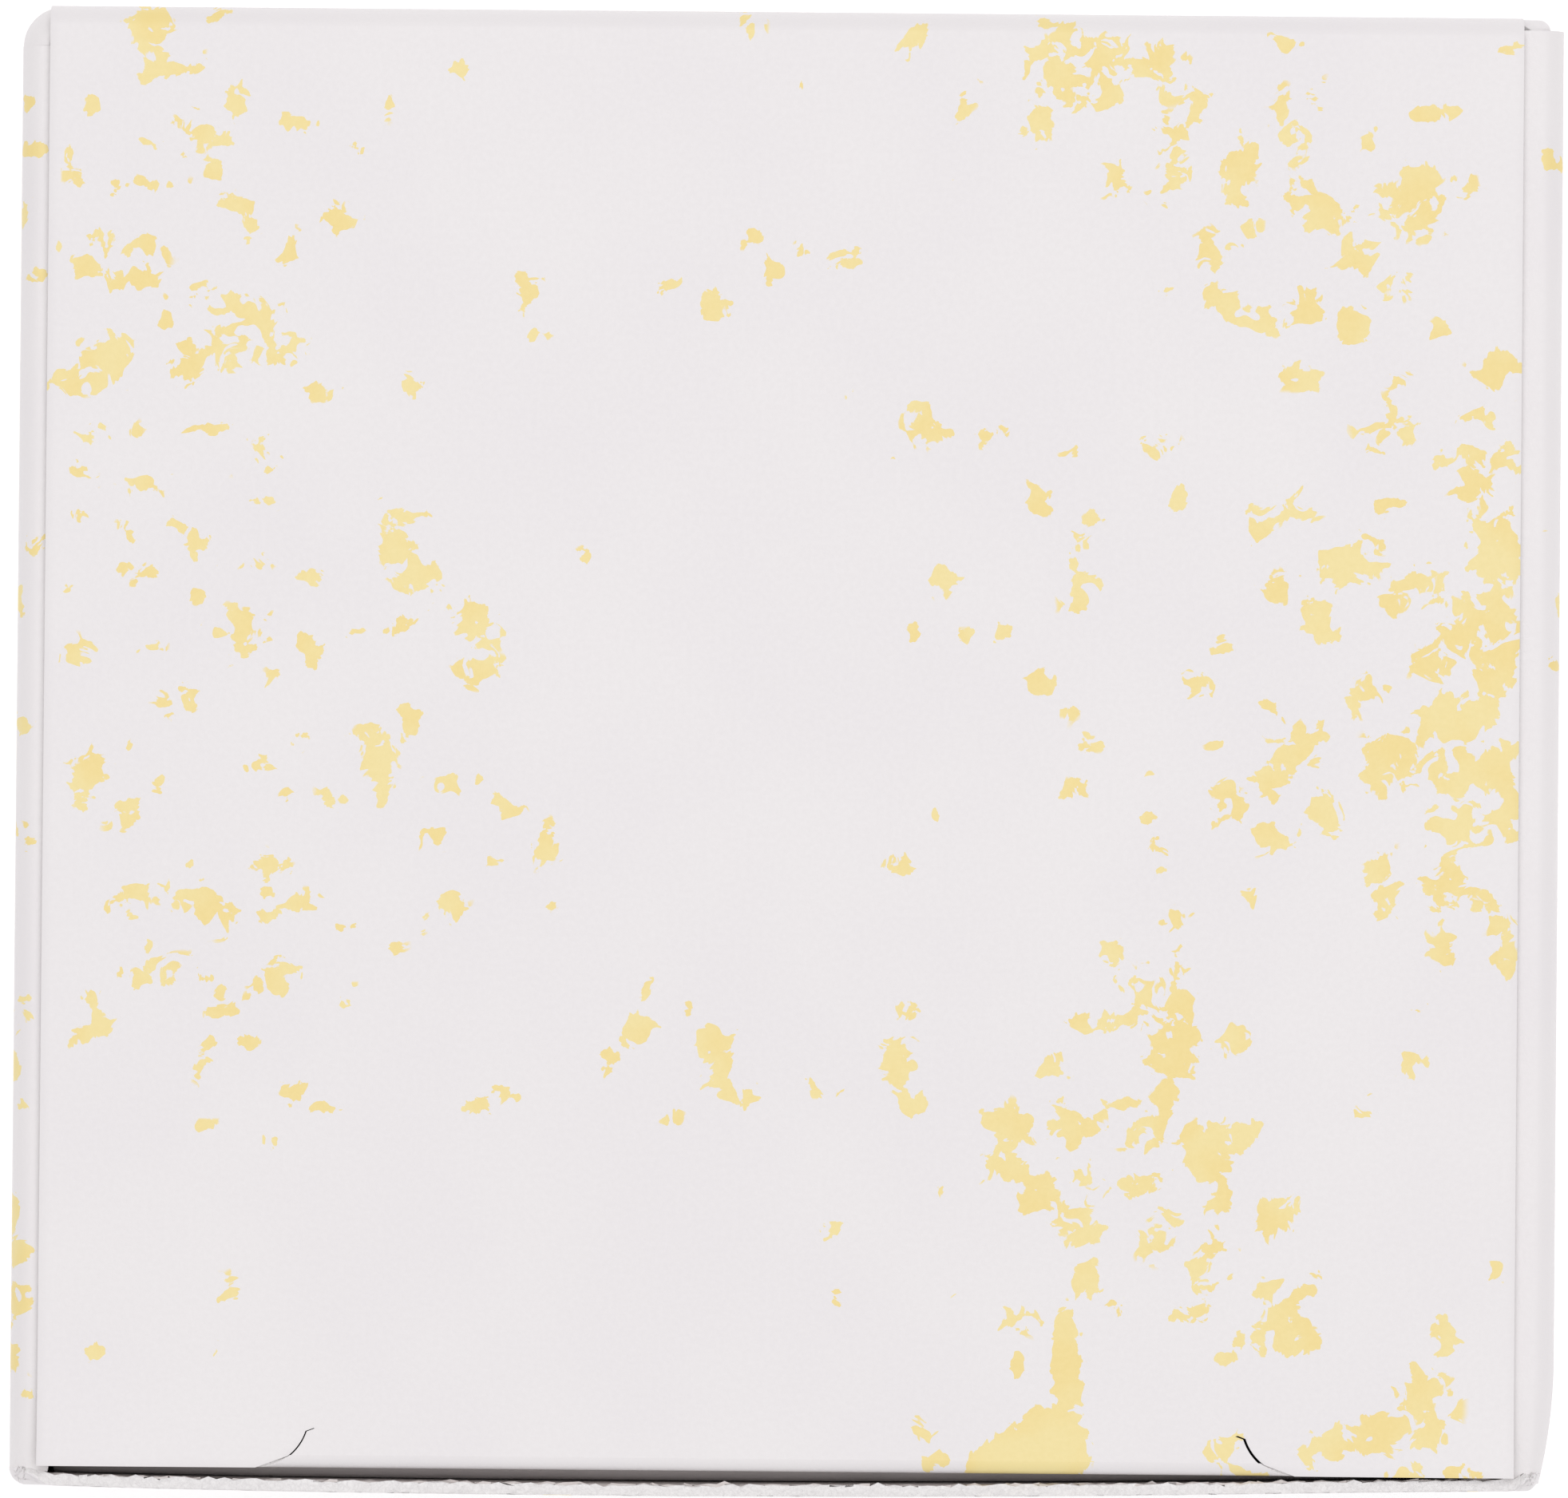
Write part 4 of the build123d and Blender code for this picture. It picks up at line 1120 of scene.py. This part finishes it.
def make_cake():
    """The cake with its dished top and softened rims."""
    middle = (cake_low.x + cake_radius, cake_low.y + cake_radius, cake_low.z + cake_height / 2)
    bpy.ops.mesh.primitive_cylinder_add(vertices=128, radius=cake_radius, depth=cake_height, location=middle)
    cake = bpy.context.object
    cake.name = "rosin_cake_glass"
    apply_place()
    select_faces(cake, lambda center, normal: normal.z > 0.9)
    bpy.ops.mesh.inset(thickness=LIP)
    for width, drop in TOP_RINGS:
        bpy.ops.mesh.inset(thickness=width * MM)
        bpy.ops.transform.translate(value=(0, 0, -drop * MM))
    bpy.ops.object.mode_set(mode="OBJECT")
    select_faces(cake, lambda center, normal: normal.z < -0.9)
    bpy.ops.mesh.inset(thickness=FOOT_RING)
    bpy.ops.transform.resize(value=(0.99, 0.99, 1), center_override=middle)
    bpy.ops.object.mode_set(mode="OBJECT")
    modify(cake, "BEVEL", limit_method="ANGLE", angle_limit=math.radians(50), width=0.7 * MM, segments=4)
    chance = random.Random(12)
    waves = [(chance.uniform(0.2, 0.7), chance.uniform(0, 6.28), chance.uniform(0, 6.28)) for _ in range(7)]
    points = points_of(cake)
    for length, turn, phase in waves:
        along = (points[:, 0] * math.cos(turn) + points[:, 1] * math.sin(turn)) / MM
        upper = points[:, 2] > cake_high.z - RIPPLE_SKIN
        points[upper, 2] += RIPPLE * (np.sin(along[upper] * length + phase) - 1)
    move_points(cake, points)
    only(cake)
    bpy.ops.object.shade_smooth_by_angle(angle=math.radians(40))
    return cake


def rosin():
    """Amber glass with subsurface light and a painted glow, lighter towards its rim, with a dusty bloom and a
    few specks caught in it.
    """
    material, shader = new_material("amber_rosin", 0.12)
    shader.inputs["IOR"].default_value = 1.54
    shader.inputs["Subsurface Weight"].default_value = 0.5
    shader.inputs["Subsurface Radius"].default_value = (1.0, 0.32, 0.05)
    shader.inputs["Subsurface Scale"].default_value = 3.5 * MM
    shader.inputs["Coat Weight"].default_value = 0.7
    shader.inputs["Coat Roughness"].default_value = 0.04
    place_mm = place_on(material)
    cloud = remap(material, noise(material, place_mm, 0.07, detail=2, distortion=0.6), 0.25, 0.75)
    amber = blend_colours(material, cloud, (0.46, 0.128, 0.008), (0.60, 0.200, 0.018))
    level = add_node(material, "ShaderNodeVectorMath", {0: place_mm, 1: (1, 1, 0)}, operation="MULTIPLY")
    reach = add_node(material, "ShaderNodeVectorMath", {0: level.outputs["Vector"]}, operation="LENGTH")
    # painted light: towards the rim the amber is painted lighter, a painted glow for light coming through the
    # cake's edge
    painted_glow_mask = remap(material, reach.outputs["Value"], 13, 19.5)
    painted_rim_glow = blend_colours(material, painted_glow_mask, amber, (0.70, 0.290, 0.040))
    specks = add_node(material, "ShaderNodeTexVoronoi", {"Vector": place_mm, "Scale": 0.55})
    near_speck = remap(material, specks.outputs["Distance"], 0.04, 0.10, 1.0, 0.0)
    speck = arithmetic(material, "MULTIPLY", near_speck, 0.6)
    flecked = blend_colours(material, speck, painted_rim_glow, (0.90, 0.60, 0.16))
    bloom = remap(material, noise(material, place_mm, 0.35, detail=5, roughness=0.7), 0.52, 0.85)
    dust = arithmetic(material, "MULTIPLY", bloom, 0.22)
    colour(material, shader, blend_colours(material, dust, flecked, (0.86, 0.72, 0.50)))
    join(material, remap(material, bloom, 0, 1, 0.07, 0.40), shader.inputs["Roughness"])
    bump(material, shader, noise(material, place_mm, 0.18, detail=1), 0.04)
    return material


cake = make_cake()
cake.data.materials.append(rosin())
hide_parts("rosin_cake")
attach(cake, "contents")
print(f"{cake.name}: {len(cake.data.polygons)} faces, {2 * cake_radius / MM:.1f} mm across")

# %% [markdown]
# ## The cloth
# The cake is glued to the middle of a square of velour, and in the carton the cloth stands up round it,
# ready to be held by. A cloth simulation makes folds that look right: a flat square falls over a round
# block that is the cake upside down, and the result is turned over. The simulation runs at ten times the
# size, where Blender's cloth is steady, and it is kept out of the carton's walls.

# %% Fold the cloth
CLOTH_SIDE = 58 * MM
CLOTH_CELLS = 64
CLOTH_THICK = 0.7 * MM
BIG = 10
DRAPE_FRAMES = 55
CLOTH_TURN = 0.06  # how far from straight the square is laid, in radians
DROP = 0.004  # how far above the block it starts, in metres at ten times the size
CLOTH_GAP = 0.15 * MM  # between the cloth's faces and the carton or the cake
TUCK_ROOM = 1.3 * MM  # left for the two tuck flaps that lean in
SLOWING = 1.5 * MM  # how far before a wall the cloth's spread is slowed
CLOTH_TOP = 27.5 * MM
GLUED_RADIUS = 16 * MM  # the cloth lies flat inside this, where it is glued
cloth_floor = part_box("cloth_wrap")[0].z + CLOTH_THICK / 2 + 0.02 * MM


def block_for_cloth():
    """The upside-down cake that the cloth falls over."""
    radius = (cake_radius + 0.4 * MM + CLOTH_THICK / 2) * BIG
    depth = (cake_height + 3 * MM) * BIG
    bpy.ops.mesh.primitive_cylinder_add(vertices=72, radius=radius, depth=depth, location=(0, 0, -depth / 2))
    block = bpy.context.object
    modify(block, "BEVEL", limit_method="ANGLE", width=1.2 * MM * BIG, segments=3)
    block.modifiers.new("collide", "COLLISION")
    block.collision.thickness_outer = 0.001
    block.collision.cloth_friction = 8
    return block


def drape(cloth, block, frames):
    """Lets the cloth fall over the block and keeps the shape that it takes."""
    only(cloth)
    fall = cloth.modifiers.new("fall", "CLOTH")
    settings = fall.settings
    settings.quality = 6
    settings.mass = 0.12
    settings.tension_stiffness = 25
    settings.compression_stiffness = 25
    settings.shear_stiffness = 8
    settings.bending_stiffness = 1.6
    settings.air_damping = 2
    fall.collision_settings.distance_min = 0.002
    fall.collision_settings.use_self_collision = False
    fall.point_cache.frame_start = 1
    fall.point_cache.frame_end = frames
    for step in range(1, frames + 1):
        bpy.context.scene.frame_set(step)
    bpy.ops.object.modifier_apply(modifier=fall.name)
    bpy.context.scene.frame_set(1)
    bpy.data.objects.remove(block)


def make_cloth():
    """The cloth's square, draped, turned over and set in the carton."""
    half = CLOTH_SIDE * BIG / 2
    cloth = flat_board("velour_cloth", -half, half, -half, half, CLOTH_SIDE * BIG / CLOTH_CELLS)
    store_blank(cloth, points_of(cloth) / MM / BIG)
    place(cloth, turn=(0, 0, CLOTH_TURN), move=(0, 0, DROP))
    drape(cloth, block_for_cloth(), DRAPE_FRAMES)
    points = points_of(cloth) / BIG
    points[:, 1:] *= -1
    points[:, 2] += cloth_floor - points[:, 2].min()
    move_points(cloth, points)
    return cloth


def keep_inside(cloth):
    """Holds the cloth inside the carton's walls and outside the cake, with room for its thickness."""
    points = points_of(cloth)
    skin = CLOTH_THICK / 2 + CLOTH_GAP
    for axis, limit in enumerate((HALF_W - BOARD - skin, HALF_D - 2 * BOARD - skin - TUCK_ROOM)):
        soft = limit - SLOWING
        over = np.maximum(np.abs(points[:, axis]) - soft, 0)
        points[:, axis] = np.sign(points[:, axis]) * np.minimum(
            np.abs(points[:, axis]), soft + SLOWING * np.tanh(over / SLOWING))
    reach = np.hypot(points[:, 0], points[:, 1])
    wall_reach = cake_radius + skin
    standing = (points[:, 2] > cloth_floor + 0.9 * MM) & (reach < wall_reach)
    points[standing, :2] *= (wall_reach / reach[standing])[:, None]
    points[:, 2] = np.minimum(points[:, 2], CLOTH_TOP)
    points[reach < GLUED_RADIUS, 2] = cloth_floor
    move_points(cloth, points)


cloth = make_cloth()
keep_inside(cloth)
low, high = np.min(points_of(cloth), axis=0) / MM, np.max(points_of(cloth), axis=0) / MM
print(f"{cloth.name}: {np.round(low, 1)} to {np.round(high, 1)} mm")

# %% [markdown]
# Velour has a short dense pile, so it is dark where the pile faces the eye and pale along every fold.
# Sheen on the shader does that. The pile's nap goes in a bump, drawn on the cloth's flat coordinates, so
# it follows every fold. The square isn't hemmed, so its edge is left plain.

# %% Velour
def velour():
    """Plum velour with a nap."""
    material, shader = new_material("plum_velour", 0.9)
    shader.inputs["Sheen Weight"].default_value = 0.75
    shader.inputs["Sheen Roughness"].default_value = 0.35
    shader.inputs["Sheen Tint"].default_value = (0.72, 0.42, 0.66, 1)
    shader.inputs["Specular IOR Level"].default_value = 0.15
    flat = place_on(material, "blank")
    brushed = remap(material, noise(material, flat, 0.22, detail=3, distortion=0.7), 0.35, 0.65)
    pile = noise(material, flat, 6.0, detail=3, roughness=0.6)
    shade_of_pile = remap(material, pile, 0.3, 0.7)
    deep = blend_colours(material, brushed, (0.060, 0.016, 0.050), (0.105, 0.030, 0.088))
    tipped = blend_colours(material, shade_of_pile, deep, (0.17, 0.058, 0.145))
    colour(material, shader, tipped)
    bump(material, shader, pile, 0.16)
    return material


def finish_cloth(cloth):
    """Gives the cloth its thickness, smooths it, gives it its velour, hides its CAD part and hangs it on its
    body.
    """
    modify(cloth, "SOLIDIFY", thickness=CLOTH_THICK, offset=0)
    modify(cloth, "SUBSURF", levels=1, render_levels=1)
    face_outwards(cloth)
    bpy.ops.object.shade_smooth()
    cloth.data.materials.append(velour())
    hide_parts("cloth_wrap")
    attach(cloth, "contents")


finish_cloth(cloth)

# %% [markdown]
# ## Camera, light and floor
# The carton is seen from straight above through a long lens, almost filling the frame. A broad, soft light
# overhead and a bright sky keep the white board white with only faint shadows. The floor glows a little,
# so that it comes out pure white round the carton.

# %% Camera
LENS, SENSOR = 300, 36
VIEW_WIDTH = 62.06 * MM  # how much of the lid's level the frame takes in
camera_data = bpy.data.cameras.new("camera")
camera_data.lens = LENS
camera_data.sensor_width = SENSOR
distance = VIEW_WIDTH * LENS / SENSOR
camera_data.clip_start = 0.01
camera = bpy.data.objects.new("camera", camera_data)
bpy.context.collection.objects.link(camera)
aim = Vector((-0.06 * MM, 0.14 * MM, HEIGHT))
tilt = math.radians(1.0)
roll = math.radians(0.5)
camera.rotation_euler = (tilt, 0, roll)
camera.location = aim + distance * Vector((0, -math.sin(tilt), math.cos(tilt)))
bpy.context.scene.camera = camera
print(f"camera {distance:.2f} m above the lid")

# %% Light and floor
def soft_light(name, place_at, size, power):
    """A square area light that points at the carton."""
    data = bpy.data.lights.new(name, "AREA")
    data.size = size
    data.energy = power
    lamp = bpy.data.objects.new(name, data)
    bpy.context.collection.objects.link(lamp)
    lamp.location = place_at
    lamp.rotation_euler = (aim - Vector(place_at)).to_track_quat("-Z", "Y").to_euler()


soft_light("overhead", place_at=(0.05, 0.12, 0.9), size=0.7, power=3.3)
world = bpy.data.worlds.new("sky")
bpy.context.scene.world = world
world.use_nodes = True
sky = world.node_tree.nodes["Background"]
sky.inputs["Color"].default_value = (0.985, 0.965, 0.975, 1)
sky.inputs["Strength"].default_value = 0.62
bpy.context.scene.view_settings.view_transform = "Standard"

bpy.ops.mesh.primitive_plane_add(size=3, location=(0, 0, 0))
floor = bpy.context.object
floor.name = "floor"
floor_material, floor_shader = new_material("pale_floor", 0.9)
floor_shader.inputs["Base Color"].default_value = (0.97, 0.97, 0.97, 1)
floor_shader.inputs["Emission Color"].default_value = (1, 1, 1, 1)
floor_shader.inputs["Emission Strength"].default_value = 0.27
floor.data.materials.append(floor_material)
floor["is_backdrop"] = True

# %% The scene's size
low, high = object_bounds()
